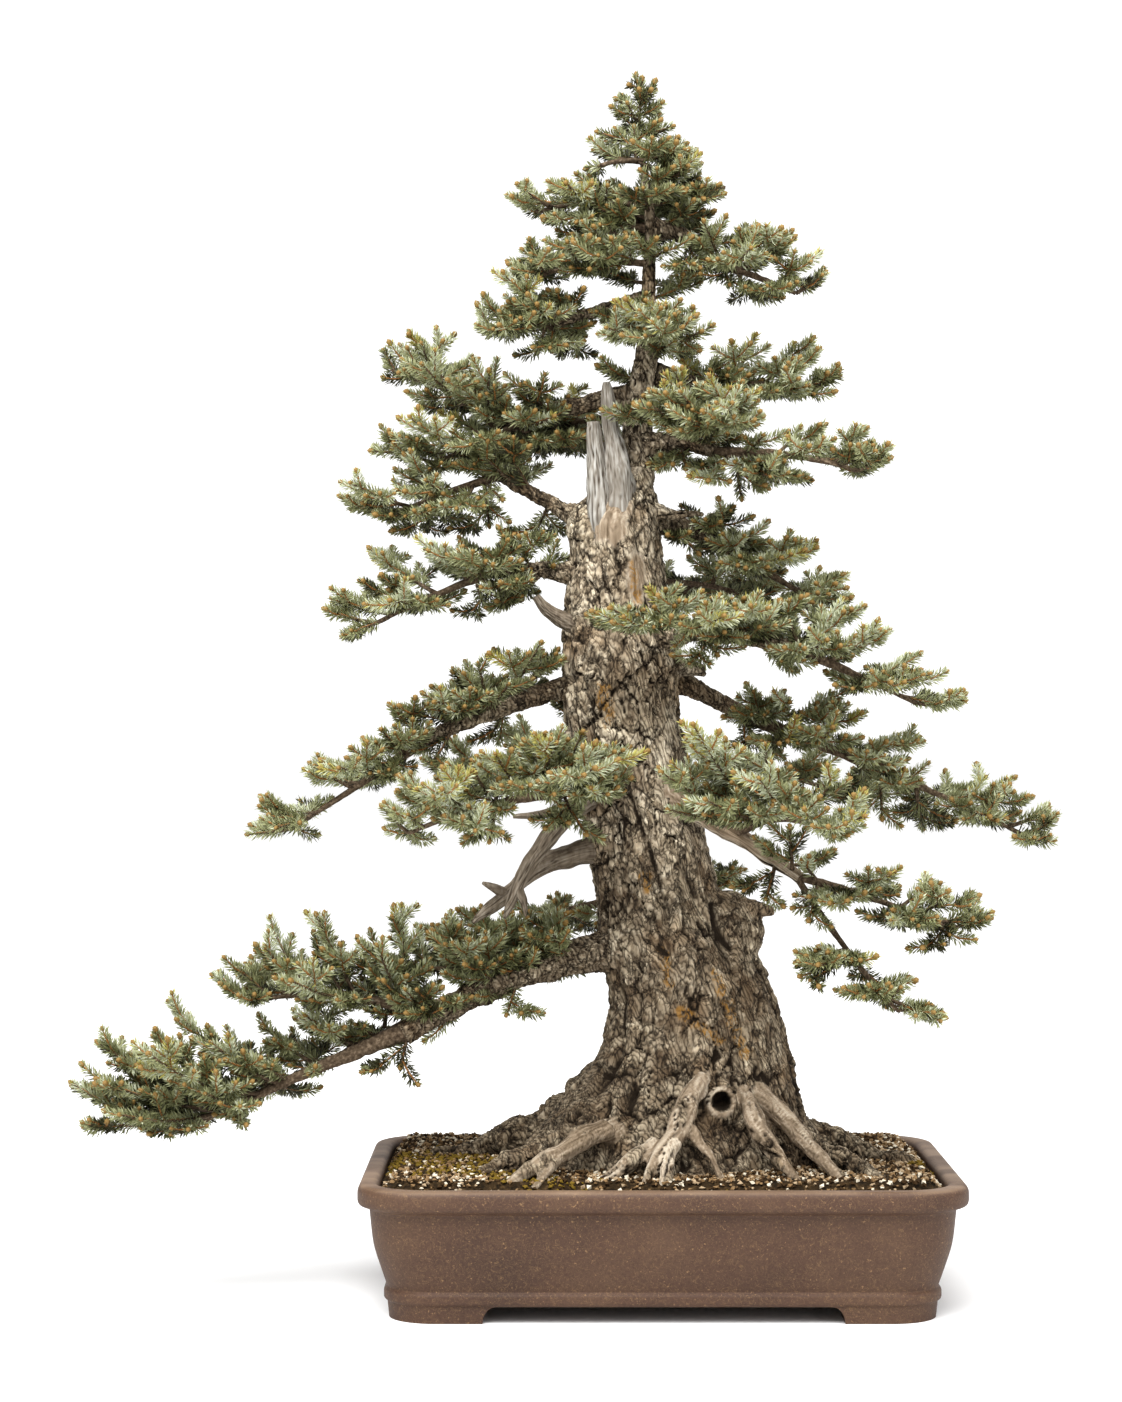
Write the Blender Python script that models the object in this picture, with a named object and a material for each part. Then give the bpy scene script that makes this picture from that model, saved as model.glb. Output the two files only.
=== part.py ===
"""White spruce bonsai in a rectangular ceramic pot, with one closed solid for each part of it.

Units are metres. +Z is up, +X is to the viewer's right and the viewer stands at -Y. The tree is
laid out from the middle of the pot, a little above the plane of the pot's feet. The last step moves
the whole plant so that the middle of its bounding box stands on the world origin.
"""

import math
import random
from collections import namedtuple

import bmesh
import bpy
from mathutils import Matrix, Vector
from mathutils.bvhtree import BVHTree

UP = Vector((0, 0, 1))
# Neighbours that touch on the real plant keep this gap, and foliage keeps a little more.
GAP = 0.0004
FOLIAGE_GAP = 0.0008

# Pot: outer rim, corners whose radius tightens inwards, wall and feet
POT_LENGTH = 0.500
POT_DEPTH = 0.350
RIM_TOP = 0.106
FOOT_PLANE = -0.0045
FOOT_GAP_TOP = 0.0095
CORNER_RADIUS = 0.044
CORNER_TIGHTENS = 0.5
CORNER_POINTS = 5
FLOOR_TOP = 0.023
WALL_INSET = 0.0175
# The inside of the wall as (inset from the rim, height), from the rim down to the floor
WALL_INSIDE = (
    (WALL_INSET, 0.1030),
    (0.0185, 0.0860),
    (0.0215, 0.0560),
    (0.0345, FLOOR_TOP),
)
# The pot's section in the same way: up the outside, over the rim, down to the floor
POT_SECTION = (
    (0.0255, FOOT_PLANE),
    (0.0240, 0.0100),
    (0.0215, 0.0120),
    (0.0215, 0.0185),
    (0.0240, 0.0210),
    (0.0205, 0.0310),
    (0.0125, 0.0560),
    (0.0092, 0.0860),
    (0.0010, 0.0890),
    (0.0000, 0.1020),
    (0.0025, RIM_TOP),
    (0.0150, RIM_TOP),
) + WALL_INSIDE
FOOT_GAP_X = 0.290
FOOT_GAP_Y = 0.190

# Soil: lower along the wall, flat where the roots spread
SOIL_EDGE = 0.0985
SOIL_TOP = 0.1095
SOIL_SLOPE = 0.016

# Trunk: height, middle in X, middle in Y and half width, from below the soil up to the leader's tip
TRUNK = (
    (0.095, 0.012, 0.000, 0.138),
    (0.125, 0.012, 0.000, 0.124),
    (0.145, 0.014, 0.000, 0.109),
    (0.168, 0.021, 0.000, 0.097),
    (0.193, 0.029, 0.000, 0.085),
    (0.220, 0.030, 0.000, 0.077),
    (0.250, 0.028, 0.000, 0.071),
    (0.280, 0.018, 0.001, 0.068),
    (0.305, 0.008, 0.002, 0.060),
    (0.330, 0.001, 0.003, 0.054),
    (0.365, -0.007, 0.004, 0.053),
    (0.415, -0.017, 0.005, 0.052),
    (0.500, -0.032, 0.005, 0.050),
    (0.550, -0.032, 0.005, 0.051),
    (0.587, -0.036, 0.006, 0.045),
    (0.620, -0.036, 0.007, 0.041),
    (0.668, -0.036, 0.009, 0.036),
    (0.680, -0.029, 0.010, 0.028),
    (0.692, -0.018, 0.011, 0.017),
    (0.706, -0.015, 0.012, 0.0128),
    (0.723, -0.0175, 0.012, 0.0137),
    (0.758, -0.016, 0.012, 0.0128),
    (0.800, -0.0095, 0.011, 0.0105),
    (0.843, -0.0085, 0.010, 0.0075),
    (0.929, -0.008, 0.010, 0.0048),
    (0.968, -0.014, 0.010, 0.0034),
    (0.998, -0.019, 0.010, 0.0022),
)
TRUNK_DEPTH_RATIO = 0.86
FLARE_HEIGHT = 0.300
FLARE_LOBES = 5
FLARE_SWELL = 0.10
FLARE_TURN = 1.0
# Above this height the leader is too thin for ridges
RIDGED_HEIGHT = 0.680
LEADER_FOOT = 0.640
# Slow lumps on the faces of the trunk as (lobes round it, turn per metre, swell)
LUMPS = ((2, 7.0, 0.060), (3, -21.0, 0.045), (5, 33.0, 0.025))
# Furrows between the long ridges of bark. Their wander and their shoulders are shares of a ridge.
RIDGES = 12
FURROW_STEP = 1.3
FURROW_UNEVEN = 0.20
FURROW_WANDER = 0.25
FURROW_WAVE = 26.0
FURROW_SHOULDER = 0.24
FURROW_DEPTH = 0.085
DEEPEST_FURROW = 0.0055
FURROW_FADE = (0.60, 0.40, 23.0)

# Roots, burl beak and broken stubs that belong to the trunk, each through (x, y, z, radius). The
# first roots are bare of bark, on the viewer's side, and all roots dip into the soil.
BARE_ROOTS = (
    ((0.036, -0.076, 0.188, 0.0070), (0.021, -0.093, 0.164, 0.0095), (0.010, -0.106, 0.146, 0.0100),
     (-0.006, -0.121, 0.126, 0.0068), (-0.016, -0.138, 0.104, 0.0045)),
    ((0.010, -0.106, 0.146, 0.0070), (0.003, -0.125, 0.126, 0.0060), (-0.002, -0.141, 0.104, 0.0045)),
    ((0.020, -0.098, 0.152, 0.0060), (0.034, -0.116, 0.130, 0.0052), (0.048, -0.131, 0.104, 0.0042)),
    ((0.062, -0.072, 0.174, 0.0075), (0.078, -0.091, 0.148, 0.0092), (0.097, -0.112, 0.128, 0.0068),
     (0.116, -0.136, 0.104, 0.0045)),
    ((0.084, -0.054, 0.170, 0.0080), (0.109, -0.077, 0.143, 0.0095), (0.129, -0.103, 0.124, 0.0070),
     (0.146, -0.130, 0.104, 0.0045)),
    ((-0.044, -0.084, 0.146, 0.0100), (-0.082, -0.112, 0.129, 0.0090), (-0.112, -0.130, 0.114, 0.0060),
     (-0.133, -0.141, 0.103, 0.0042)),
    ((-0.080, -0.110, 0.128, 0.0070), (-0.096, -0.133, 0.114, 0.0052), (-0.104, -0.145, 0.103, 0.0040)),
    ((-0.004, -0.104, 0.134, 0.0080), (-0.034, -0.120, 0.118, 0.0062), (-0.062, -0.131, 0.103, 0.0042)),
)
BARK_ROOTS = (
    ((-0.030, 0.000, 0.180, 0.0200), (-0.073, 0.006, 0.146, 0.0200), (-0.128, 0.012, 0.119, 0.0145),
     (-0.164, 0.018, 0.111, 0.0100), (-0.200, 0.022, 0.103, 0.0055)),
    ((0.085, 0.008, 0.150, 0.0160), (0.152, -0.004, 0.122, 0.0120), (0.226, -0.034, 0.103, 0.0055)),
    ((0.095, -0.040, 0.140, 0.0120), (0.134, -0.062, 0.124, 0.0105), (0.184, -0.120, 0.103, 0.0055)),
    ((0.090, 0.040, 0.138, 0.0140), (0.140, 0.052, 0.121, 0.0110), (0.198, 0.064, 0.103, 0.0055)),
    ((-0.050, -0.045, 0.146, 0.0160), (-0.106, -0.068, 0.121, 0.0120), (-0.160, -0.094, 0.103, 0.0055)),
    ((0.060, 0.070, 0.144, 0.0130), (0.103, 0.136, 0.103, 0.0055)),
    ((0.010, 0.080, 0.144, 0.0130), (0.000, 0.142, 0.103, 0.0055)),
    ((-0.050, 0.050, 0.144, 0.0140), (-0.085, 0.078, 0.121, 0.0110), (-0.119, 0.110, 0.103, 0.0055)),
)
TRUNK_STUBS = (
    ((0.000, 0.000, 0.532, 0.0100), (0.026, -0.004, 0.530, 0.0075), (0.044, -0.006, 0.525, 0.0045)),
    ((0.000, 0.004, 0.474, 0.0075), (0.038, 0.000, 0.468, 0.0035)),
    ((-0.012, 0.004, 0.664, 0.0080), (0.036, -0.004, 0.657, 0.0030)),
    ((-0.020, 0.010, 0.292, 0.0070), (-0.068, 0.002, 0.298, 0.0030)),
)
# The swelling on the trunk's right, above the flare
BURL_MIDDLE = (0.062, 0.000, 0.304)
BURL_SIZE = (0.031, 0.030, 0.033)
BURL_BEAK = ((0.066, -0.006, 0.320, 0.013), (0.088, -0.008, 0.3225, 0.0085), (0.099, -0.009, 0.3195, 0.0045))

# Bare silver wood: each piece is a chain of (x, y, z, radius)
DEAD_TOP = (
    (
        (-0.037, -0.012, 0.628, 0.0070),
        (-0.035, -0.013, 0.655, 0.0140),
        (-0.033, -0.008, 0.682, 0.0125),
        (-0.037, -0.005, 0.707, 0.0105),
        (-0.041, -0.004, 0.733, 0.0066),
        (-0.043, -0.004, 0.758, 0.0045),
        (-0.044, -0.004, 0.774, 0.0016),
    ),
    (
        (-0.047, -0.010, 0.640, 0.0070),
        (-0.050, -0.010, 0.668, 0.0110),
        (-0.053, -0.006, 0.700, 0.0092),
        (-0.056, -0.005, 0.730, 0.0070),
        (-0.058, -0.005, 0.746, 0.0022),
    ),
)
DEAD_LIMB_UPPER = (
    (
        (-0.050, -0.010, 0.425, 0.0100),
        (-0.076, -0.030, 0.405, 0.0085),
        (-0.099, -0.045, 0.378, 0.0070),
        (-0.117, -0.055, 0.350, 0.0055),
        (-0.124, -0.058, 0.334, 0.0040),
        (-0.131, -0.060, 0.318, 0.0018),
    ),
    (
        (-0.120, -0.056, 0.344, 0.0036),
        (-0.114, -0.062, 0.330, 0.0028),
        (-0.113, -0.064, 0.322, 0.0014),
    ),
    (
        (-0.070, -0.024, 0.412, 0.0050),
        (-0.100, -0.028, 0.404, 0.0036),
        (-0.124, -0.026, 0.402, 0.0018),
    ),
)
DEAD_LIMB_LOWER = (
    (
        (-0.040, 0.000, 0.375, 0.0120),
        (-0.078, -0.014, 0.368, 0.0100),
        (-0.106, -0.026, 0.356, 0.0080),
        (-0.134, -0.036, 0.332, 0.0058),
        (-0.150, -0.040, 0.320, 0.0040),
        (-0.158, -0.042, 0.313, 0.0018),
    ),
    (
        (-0.130, -0.034, 0.336, 0.0042),
        (-0.141, -0.044, 0.343, 0.0030),
        (-0.149, -0.050, 0.347, 0.0014),
    ),
)
DEAD_STUB = (
    (
        (-0.060, 0.000, 0.566, 0.0070),
        (-0.085, -0.004, 0.572, 0.0055),
        (-0.100, -0.008, 0.583, 0.0036),
        (-0.106, -0.010, 0.590, 0.0016),
    ),
)

# Boughs: height where they leave the trunk, heading in plan (0 is right, 90 is away from the
# viewer), reach from the trunk's middle, rise, upward arch and the radius at each end
BOUGH_POINTS = 6
Bough = namedtuple("Bough", "name height heading reach rise arch thick thin")
BOUGHS = (
    Bough("bough_left_low", 0.288, 190, 0.235, -0.069, 0.021, 0.0160, 0.0095),
    Bough("bough_left_middle", 0.520, 188, 0.172, -0.055, 0.008, 0.0090, 0.0055),
    Bough("bough_front_left", 0.424, 240, 0.140, 0.000, 0.004, 0.0090, 0.0055),
    Bough("bough_left_upper", 0.604, 187, 0.108, 0.006, 0.004, 0.0080, 0.0050),
    Bough("bough_left_shoulder", 0.640, 164, 0.106, 0.056, 0.000, 0.0075, 0.0050),
    Bough("bough_left_high", 0.762, 160, 0.130, -0.026, 0.006, 0.0080, 0.0050),
    Bough("bough_left_top", 0.843, 187, 0.082, -0.020, 0.002, 0.0060, 0.0045),
    Bough("bough_right_top", 0.905, -8, 0.056, -0.030, 0.010, 0.0062, 0.0050),
    Bough("bough_right_high", 0.783, 20, 0.062, -0.014, 0.002, 0.0075, 0.0055),
    Bough("bough_right_upper", 0.716, -32, 0.076, -0.006, 0.008, 0.0085, 0.0060),
    Bough("bough_right_middle", 0.658, 8, 0.095, -0.024, 0.006, 0.0100, 0.0065),
    Bough("bough_right_front", 0.548, -32, 0.160, -0.002, 0.010, 0.0090, 0.0060),
    Bough("bough_right_low", 0.532, 6, 0.118, -0.050, 0.006, 0.0095, 0.0065),
    Bough("bough_front_right", 0.436, -40, 0.175, -0.082, 0.004, 0.0140, 0.0090),
    Bough("bough_back_low", 0.340, 78, 0.150, -0.010, 0.012, 0.0120, 0.0070),
    Bough("bough_back_middle", 0.480, 105, 0.150, -0.020, 0.012, 0.0110, 0.0065),
)

# Foliage masses: the limb that carries each, how far along that limb its stem starts, the middle
# and half sizes of the space that it fills, its tilt in the picture plane and its number of twigs
Mass = namedtuple("Mass", "name limb along middle half tilt twigs")
MASSES = (
    Mass(
        "foliage_left_low_top", "bough_left_low", 0.66, (-0.152, 0.000, 0.292), (0.090, 0.065, 0.033), 12, 5
    ),
    Mass(
        "foliage_left_low_middle", "bough_left_low", 0.90, (-0.290, -0.020, 0.270), (0.088, 0.075, 0.053), 6, 6
    ),
    Mass(
        "foliage_left_low_end", "bough_left_low", 1.00, (-0.410, -0.060, 0.178), (0.092, 0.085, 0.060), 0, 8
    ),
    Mass(
        "foliage_left_low_under", "bough_left_low", 0.80, (-0.290, 0.000, 0.186), (0.078, 0.050, 0.033), 28, 5
    ),
    Mass(
        "foliage_left_middle_in", "bough_left_middle", 0.70, (-0.143, 0.000, 0.514), (0.062, 0.055, 0.028), 24, 5
    ),
    Mass(
        "foliage_left_middle_end", "bough_left_middle", 1.00, (-0.268, -0.030, 0.431), (0.090, 0.075, 0.032), 31, 6
    ),
    Mass(
        "foliage_front_left_in", "bough_front_left", 0.80, (-0.083, -0.165, 0.442), (0.070, 0.056, 0.040), 0, 5
    ),
    Mass(
        "foliage_front_left_end", "bough_front_left", 1.00, (-0.174, -0.160, 0.409), (0.052, 0.060, 0.044), 0, 5
    ),
    Mass(
        "foliage_left_upper", "bough_left_upper", 1.00, (-0.184, -0.010, 0.596), (0.100, 0.068, 0.045), 13, 7
    ),
    Mass(
        "foliage_left_shoulder", "bough_left_shoulder", 1.00, (-0.192, 0.030, 0.667), (0.066, 0.058, 0.036), -6, 5
    ),
    Mass(
        "foliage_left_high_end", "bough_left_high", 1.00, (-0.190, 0.070, 0.783), (0.054, 0.060, 0.034), -22, 5
    ),
    Mass(
        "foliage_left_high_low", "bough_left_high", 0.80, (-0.138, 0.045, 0.728), (0.090, 0.055, 0.038), 8, 5
    ),
    Mass("foliage_left_top", "bough_left_top", 1.00, (-0.110, 0.000, 0.822), (0.046, 0.048, 0.040), -14, 5),
    Mass("foliage_crown_left_upper", "trunk", 0.925, (-0.076, 0.004, 0.918), (0.042, 0.042, 0.031), -26, 5),
    Mass("foliage_crown_left_lower", "trunk", 0.876, (-0.071, -0.018, 0.877), (0.054, 0.050, 0.027), 10, 5),
    Mass("foliage_crown_tip", "trunk", 0.992, (-0.0155, 0.010, 1.008), (0.036, 0.034, 0.034), 90, 5),
    Mass("foliage_crown_cone", "trunk", 0.964, (-0.018, -0.016, 0.966), (0.051, 0.042, 0.028), 0, 5),
    Mass("foliage_crown_right", "trunk", 0.934, (0.031, 0.010, 0.946), (0.038, 0.044, 0.040), 20, 5),
    Mass("foliage_crown_back", "trunk", 0.905, (-0.014, 0.070, 0.925), (0.050, 0.044, 0.040), 0, 5),
    Mass("foliage_right_top", "bough_right_top", 1.00, (0.086, 0.000, 0.869), (0.055, 0.058, 0.044), -8, 6),
    Mass("foliage_front_top", "trunk", 0.815, (-0.005, -0.050, 0.812), (0.047, 0.038, 0.025), 0, 5),
    Mass(
        "foliage_right_high", "bough_right_high", 1.00, (0.090, 0.035, 0.774), (0.068, 0.065, 0.034), 8, 5
    ),
    Mass(
        "foliage_right_upper_in", "bough_right_upper", 0.55, (0.030, -0.085, 0.741), (0.052, 0.048, 0.025), -8, 5
    ),
    Mass(
        "foliage_right_upper_end", "bough_right_upper", 1.00, (0.120, -0.040, 0.700), (0.075, 0.066, 0.035), 8, 5
    ),
    Mass(
        "foliage_right_middle", "bough_right_middle", 1.00, (0.101, 0.015, 0.614), (0.068, 0.066, 0.034), -24, 5
    ),
    Mass(
        "foliage_right_front_in", "bough_right_front", 0.62, (0.026, -0.125, 0.568), (0.076, 0.050, 0.025), 0, 5
    ),
    Mass(
        "foliage_right_front_end", "bough_right_front", 1.00, (0.163, -0.075, 0.533), (0.093, 0.075, 0.037), -23, 6
    ),
    Mass(
        "foliage_right_low_in", "bough_right_low", 0.74, (0.132, -0.036, 0.471), (0.078, 0.054, 0.038), -18, 5
    ),
    Mass(
        "foliage_right_low_end", "bough_right_low", 1.00, (0.262, 0.020, 0.405), (0.088, 0.078, 0.041), -6, 6
    ),
    Mass(
        "foliage_front_right_pad", "bough_front_right", 0.62, (0.068, -0.185, 0.425), (0.090, 0.056, 0.046), -10, 6
    ),
    Mass(
        "foliage_front_right_end", "bough_front_right", 1.00, (0.171, -0.125, 0.333), (0.098, 0.075, 0.037), -6, 6
    ),
    Mass(
        "foliage_front_right_hang", "bough_front_right", 0.55, (0.157, -0.160, 0.273), (0.058, 0.040, 0.026), -22, 5
    ),
    Mass("foliage_back_low", "bough_back_low", 1.00, (-0.075, 0.200, 0.290), (0.140, 0.072, 0.030), 0, 6),
    Mass(
        "foliage_back_middle", "bough_back_middle", 1.00, (-0.110, 0.190, 0.442), (0.098, 0.070, 0.036), 0, 5
    ),
    Mass(
        "foliage_back_right", "bough_back_middle", 0.80, (0.125, 0.160, 0.425), (0.082, 0.062, 0.034), 0, 5
    ),
    Mass("foliage_back_upper", "trunk", 0.600, (0.060, 0.140, 0.596), (0.085, 0.062, 0.034), 0, 5),
    Mass("foliage_back_high", "trunk", 0.745, (-0.095, 0.115, 0.738), (0.062, 0.060, 0.034), 0, 5),
)

# Core of a dense mass, as a share of its space, with its lumps and its flatter underside
CORE_SHARE = 0.56
CORE_LUMPS = 0.26
CORE_UNDERSIDE = 0.85
CORE_SEGMENTS = 7
CORE_RINGS = 4
CORE_SHRINK = 0.82
CORE_TRIES = 5
FEWEST_TWIGS_ROUND_A_CORE = 5

# Spray of needles: a slim blade with needle teeth, longer than life so that fewer fill the crown
SPRAY_SEGMENTS = 8
SPRAY_NOTCH = 0.50
SPRAY_THICKEST = 0.34
SPRAY_LONGEST = 0.066
SPRAY_SHORTEST = 0.030
SPRAY_WIDTH = 0.74
SPRAY_THICKNESS = 0.0056
FLATTEST_ROLL = 0.9
LONGEST_FROM_CORE = 0.085
SPRAY_ROOT_SHARE = 0.45
TOOTH_LEAN = 0.16
ROOT_DEPTH = 0.0030
TWIG_THICK = 0.0026
TWIG_THIN = 0.0018
ELBOW_SHARE = 0.9
# Stems: radius on the trunk, share of a bough's radius, radius at the end and how they run
STEM_THICK = 0.0030
STEM_SHARE = 0.62
STEM_THIN = 0.0022
STEM_REACH = 0.62
STEM_ARCH = 0.06
STEM_SAG = 0.10
STEM_POINTS = 3
FURTHEST_STEM = 0.985
# Twigs: where the first leaves the stem, how far they lean outwards and where they aim
FIRST_TWIG = 0.18
TARGET_REACH = 0.98
TWIG_LEAN = 0.45
LOWEST_TWIG = -0.55
SIDE_SPRAY_ANGLE = math.radians(50)
SIDE_SPRAY_LIFT = 0.5
SIDE_SPRAY_PLACE = (0.55, 0.85)
NEAREST_STEPS = 24
TRIES = 4
SHORTER_EACH_TRY = 0.85

COLOURS = {
    "fired clay": ((0.171, 0.098, 0.073), 0.72),
    "soil": ((0.290, 0.215, 0.140), 0.95),
    "bark": ((0.140, 0.098, 0.070), 0.92),
    "dead wood": ((0.480, 0.430, 0.370), 0.80),
    "needles": ((0.150, 0.215, 0.120), 0.70),
}


def clear_scene():
    for obj in list(bpy.data.objects):
        bpy.data.objects.remove(obj, do_unlink=True)


def new_collection(name, shown=True):
    collection = bpy.data.collections.new(name)
    bpy.context.scene.collection.children.link(collection)
    collection.hide_render = not shown
    return collection


def material(name):
    found = bpy.data.materials.get(name)
    if found:
        return found
    colour, roughness = COLOURS[name]
    made = bpy.data.materials.new(name)
    made.use_nodes = True
    shader = made.node_tree.nodes["Principled BSDF"]
    shader.inputs["Base Color"].default_value = (*colour, 1)
    shader.inputs["Roughness"].default_value = roughness
    shader.inputs["Metallic"].default_value = 0
    return made


def add_object(name, mesh, collection, finish=None):
    obj = bpy.data.objects.new(name, mesh)
    collection.objects.link(obj)
    if finish:
        mesh.materials.clear()
        mesh.materials.append(material(finish))
    return obj


def mesh_from(bm, name):
    mesh = bpy.data.meshes.new(name)
    bm.to_mesh(mesh)
    bm.free()
    return mesh


def remove(obj):
    mesh = obj.data
    bpy.data.objects.remove(obj, do_unlink=True)
    bpy.data.meshes.remove(mesh)


def baked(obj):
    """Replaces an object's mesh by what its modifiers make of it."""
    bpy.context.view_layer.update()
    graph = bpy.context.evaluated_depsgraph_get()
    mesh = bpy.data.meshes.new_from_object(obj.evaluated_get(graph))
    old = obj.data
    obj.modifiers.clear()
    obj.data = mesh
    bpy.data.meshes.remove(old)
    mesh.name = obj.name


def cut(obj, cutter):
    """Takes the cutter away from the object. The cutter stays."""
    boolean = obj.modifiers.new("cut", "BOOLEAN")
    boolean.operation = "DIFFERENCE"
    boolean.object = cutter
    baked(obj)


def closed(mesh):
    """Whether each edge of a mesh lies between two faces."""
    bm = bmesh.new()
    bm.from_mesh(mesh)
    whole = all(edge.is_manifold for edge in bm.edges)
    bm.free()
    return whole


def join(obj, pieces):
    """One union of the object with all the pieces of a collection, which are then removed."""
    single = obj.data.copy()
    for solver in ("EXACT", "MANIFOLD"):
        boolean = obj.modifiers.new("join", "BOOLEAN")
        boolean.operation = "UNION"
        boolean.operand_type = "COLLECTION"
        boolean.collection = pieces
        boolean.solver = solver
        baked(obj)
        if closed(obj.data):
            break
        obj.data = single.copy()
    bpy.data.meshes.remove(single)
    for piece in list(pieces.objects):
        remove(piece)


def islands(bm):
    """The sets of faces that hang together."""
    left = set(bm.faces)
    while left:
        island = set()
        front = [left.pop()]
        while front:
            face = front.pop()
            island.add(face)
            for edge in face.edges:
                for other in edge.link_faces:
                    if other in left:
                        left.remove(other)
                        front.append(other)
        yield island


def signed_volume(faces):
    total = 0.0
    for face in faces:
        corners = [vert.co for vert in face.verts]
        for b, c in zip(corners[1:], corners[2:]):
            total += corners[0].dot(b.cross(c))
    return total / 6


def keep_main_body(obj):
    """Fills sealed hollows and drops loose scraps, which leaves the largest closed body."""
    bm = bmesh.new()
    bm.from_mesh(obj.data)
    found = sorted(islands(bm), key=signed_volume)
    for island in found[:-1]:
        bmesh.ops.delete(bm, geom=list(island), context="FACES")
    loose = [vert for vert in bm.verts if not vert.link_faces]
    bmesh.ops.delete(bm, geom=loose, context="VERTS")
    bmesh.ops.dissolve_degenerate(bm, dist=1e-6, edges=bm.edges)
    bm.to_mesh(obj.data)
    bm.free()


def split_faces(obj):
    """Splits twisted faces into triangles, so that a swollen copy follows the same surface."""
    bm = bmesh.new()
    bm.from_mesh(obj.data)
    bmesh.ops.triangulate(bm, faces=bm.faces)
    bm.to_mesh(obj.data)
    bm.free()


def swollen(obj, gap, collection):
    """A copy of an object with its surface moved outwards, to cut its neighbours clear of it."""
    bm = bmesh.new()
    bm.from_mesh(obj.data)
    bm.normal_update()
    for vert, normal in [(vert, vert.normal.copy()) for vert in bm.verts]:
        vert.co += normal * gap
    copy = add_object(obj.name + "_clearance", mesh_from(bm, obj.name + "_clearance"), collection)
    copy.display_type = "WIRE"
    copy.hide_render = True
    return copy


def tree_of(obj):
    mesh = obj.data
    return BVHTree.FromPolygons(
        [vert.co for vert in mesh.vertices], [tuple(face.vertices) for face in mesh.polygons]
    )


def tube(name, points, radii, collection, resolution=1):
    """A tapering limb through the points, as a closed mesh."""
    curve = bpy.data.curves.new(name, "CURVE")
    curve.dimensions = "3D"
    curve.bevel_depth = 1.0
    curve.bevel_resolution = resolution
    curve.use_fill_caps = True
    spline = curve.splines.new("POLY")
    spline.points.add(len(points) - 1)
    for place, point, radius in zip(spline.points, points, radii):
        place.co = (*point, 1)
        place.radius = radius
    guide = bpy.data.objects.new(name + "_guide", curve)
    collection.objects.link(guide)
    bpy.context.view_layer.update()
    graph = bpy.context.evaluated_depsgraph_get()
    mesh = bpy.data.meshes.new_from_object(guide.evaluated_get(graph))
    bpy.data.objects.remove(guide, do_unlink=True)
    bpy.data.curves.remove(curve)
    bm = bmesh.new()
    bm.from_mesh(mesh)
    bmesh.ops.remove_doubles(bm, verts=bm.verts, dist=1e-6)
    bmesh.ops.recalc_face_normals(bm, faces=bm.faces)
    bm.to_mesh(mesh)
    bm.free()
    mesh.name = name
    return add_object(name, mesh, collection)


def plan(heading):
    """The level direction of a heading in degrees."""
    angle = math.radians(heading)
    return Vector((math.cos(angle), math.sin(angle), 0))


def bend(start, end, arch, count):
    """Points from start to end along a curve that rises by the arch in its middle."""
    middle = (start + end) / 2 + UP * (2 * arch)
    points = []
    for step in range(count):
        t = step / (count - 1)
        points.append(start * (1 - t) ** 2 + middle * (2 * t * (1 - t)) + end * t**2)
    return points


def tapered(thick, thin, count):
    """Radii that fall evenly from the first point of a limb to its last."""
    return [thick + (thin - thick) * step / (count - 1) for step in range(count)]


def along(points, t):
    """The point at the share t of a chain of points."""
    place = min(max(t, 0.0), 1.0) * (len(points) - 1)
    index = min(int(place), len(points) - 2)
    return points[index].lerp(points[index + 1], place - index)


# Pot and soil


def rounded_ring(bm, inset, height):
    """A level ring of the pot's outline, moved inwards by the inset."""
    half_x = POT_LENGTH / 2 - inset
    half_y = POT_DEPTH / 2 - inset
    radius = CORNER_RADIUS - CORNER_TIGHTENS * inset
    ring = []
    for corner in range(4):
        sign_x = (1, -1, -1, 1)[corner]
        sign_y = (1, 1, -1, -1)[corner]
        for step in range(CORNER_POINTS):
            angle = math.pi / 2 * (corner + step / (CORNER_POINTS - 1))
            x = sign_x * (half_x - radius) + radius * math.cos(angle)
            y = sign_y * (half_y - radius) + radius * math.sin(angle)
            ring.append(bm.verts.new((x, y, height)))
    return ring


def lofted(name, rings):
    """A closed mesh through rings of equal length, with a face over the first and the last."""
    bm = bmesh.new()
    made = [ring(bm) for ring in rings]
    for low, high in zip(made, made[1:]):
        for index in range(len(low)):
            after = (index + 1) % len(low)
            bm.faces.new((low[index], low[after], high[after], high[index]))
    bm.faces.new(reversed(made[0]))
    bm.faces.new(made[-1])
    bmesh.ops.recalc_face_normals(bm, faces=bm.faces)
    return mesh_from(bm, name)


def box(name, size, middle, collection):
    bm = bmesh.new()
    bmesh.ops.create_cube(bm, size=1.0)
    bmesh.ops.scale(bm, verts=bm.verts, vec=size)
    bmesh.ops.translate(bm, verts=bm.verts, vec=middle)
    return add_object(name, mesh_from(bm, name), collection)


def make_pot(parts, helpers):
    rings = [lambda bm, place=place: rounded_ring(bm, *place) for place in POT_SECTION]
    pot = add_object("pot", lofted("pot", rings), parts, "fired clay")
    depth = 2 * (FOOT_GAP_TOP - FOOT_PLANE)
    middle = (0, 0, FOOT_PLANE)
    for index, (length, width) in enumerate(((FOOT_GAP_X, POT_DEPTH), (POT_LENGTH, FOOT_GAP_Y))):
        cutter = box(f"foot_gap_{index}", (length, width, depth), middle, helpers)
        cut(pot, cutter)
        remove(cutter)
    return pot


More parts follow.
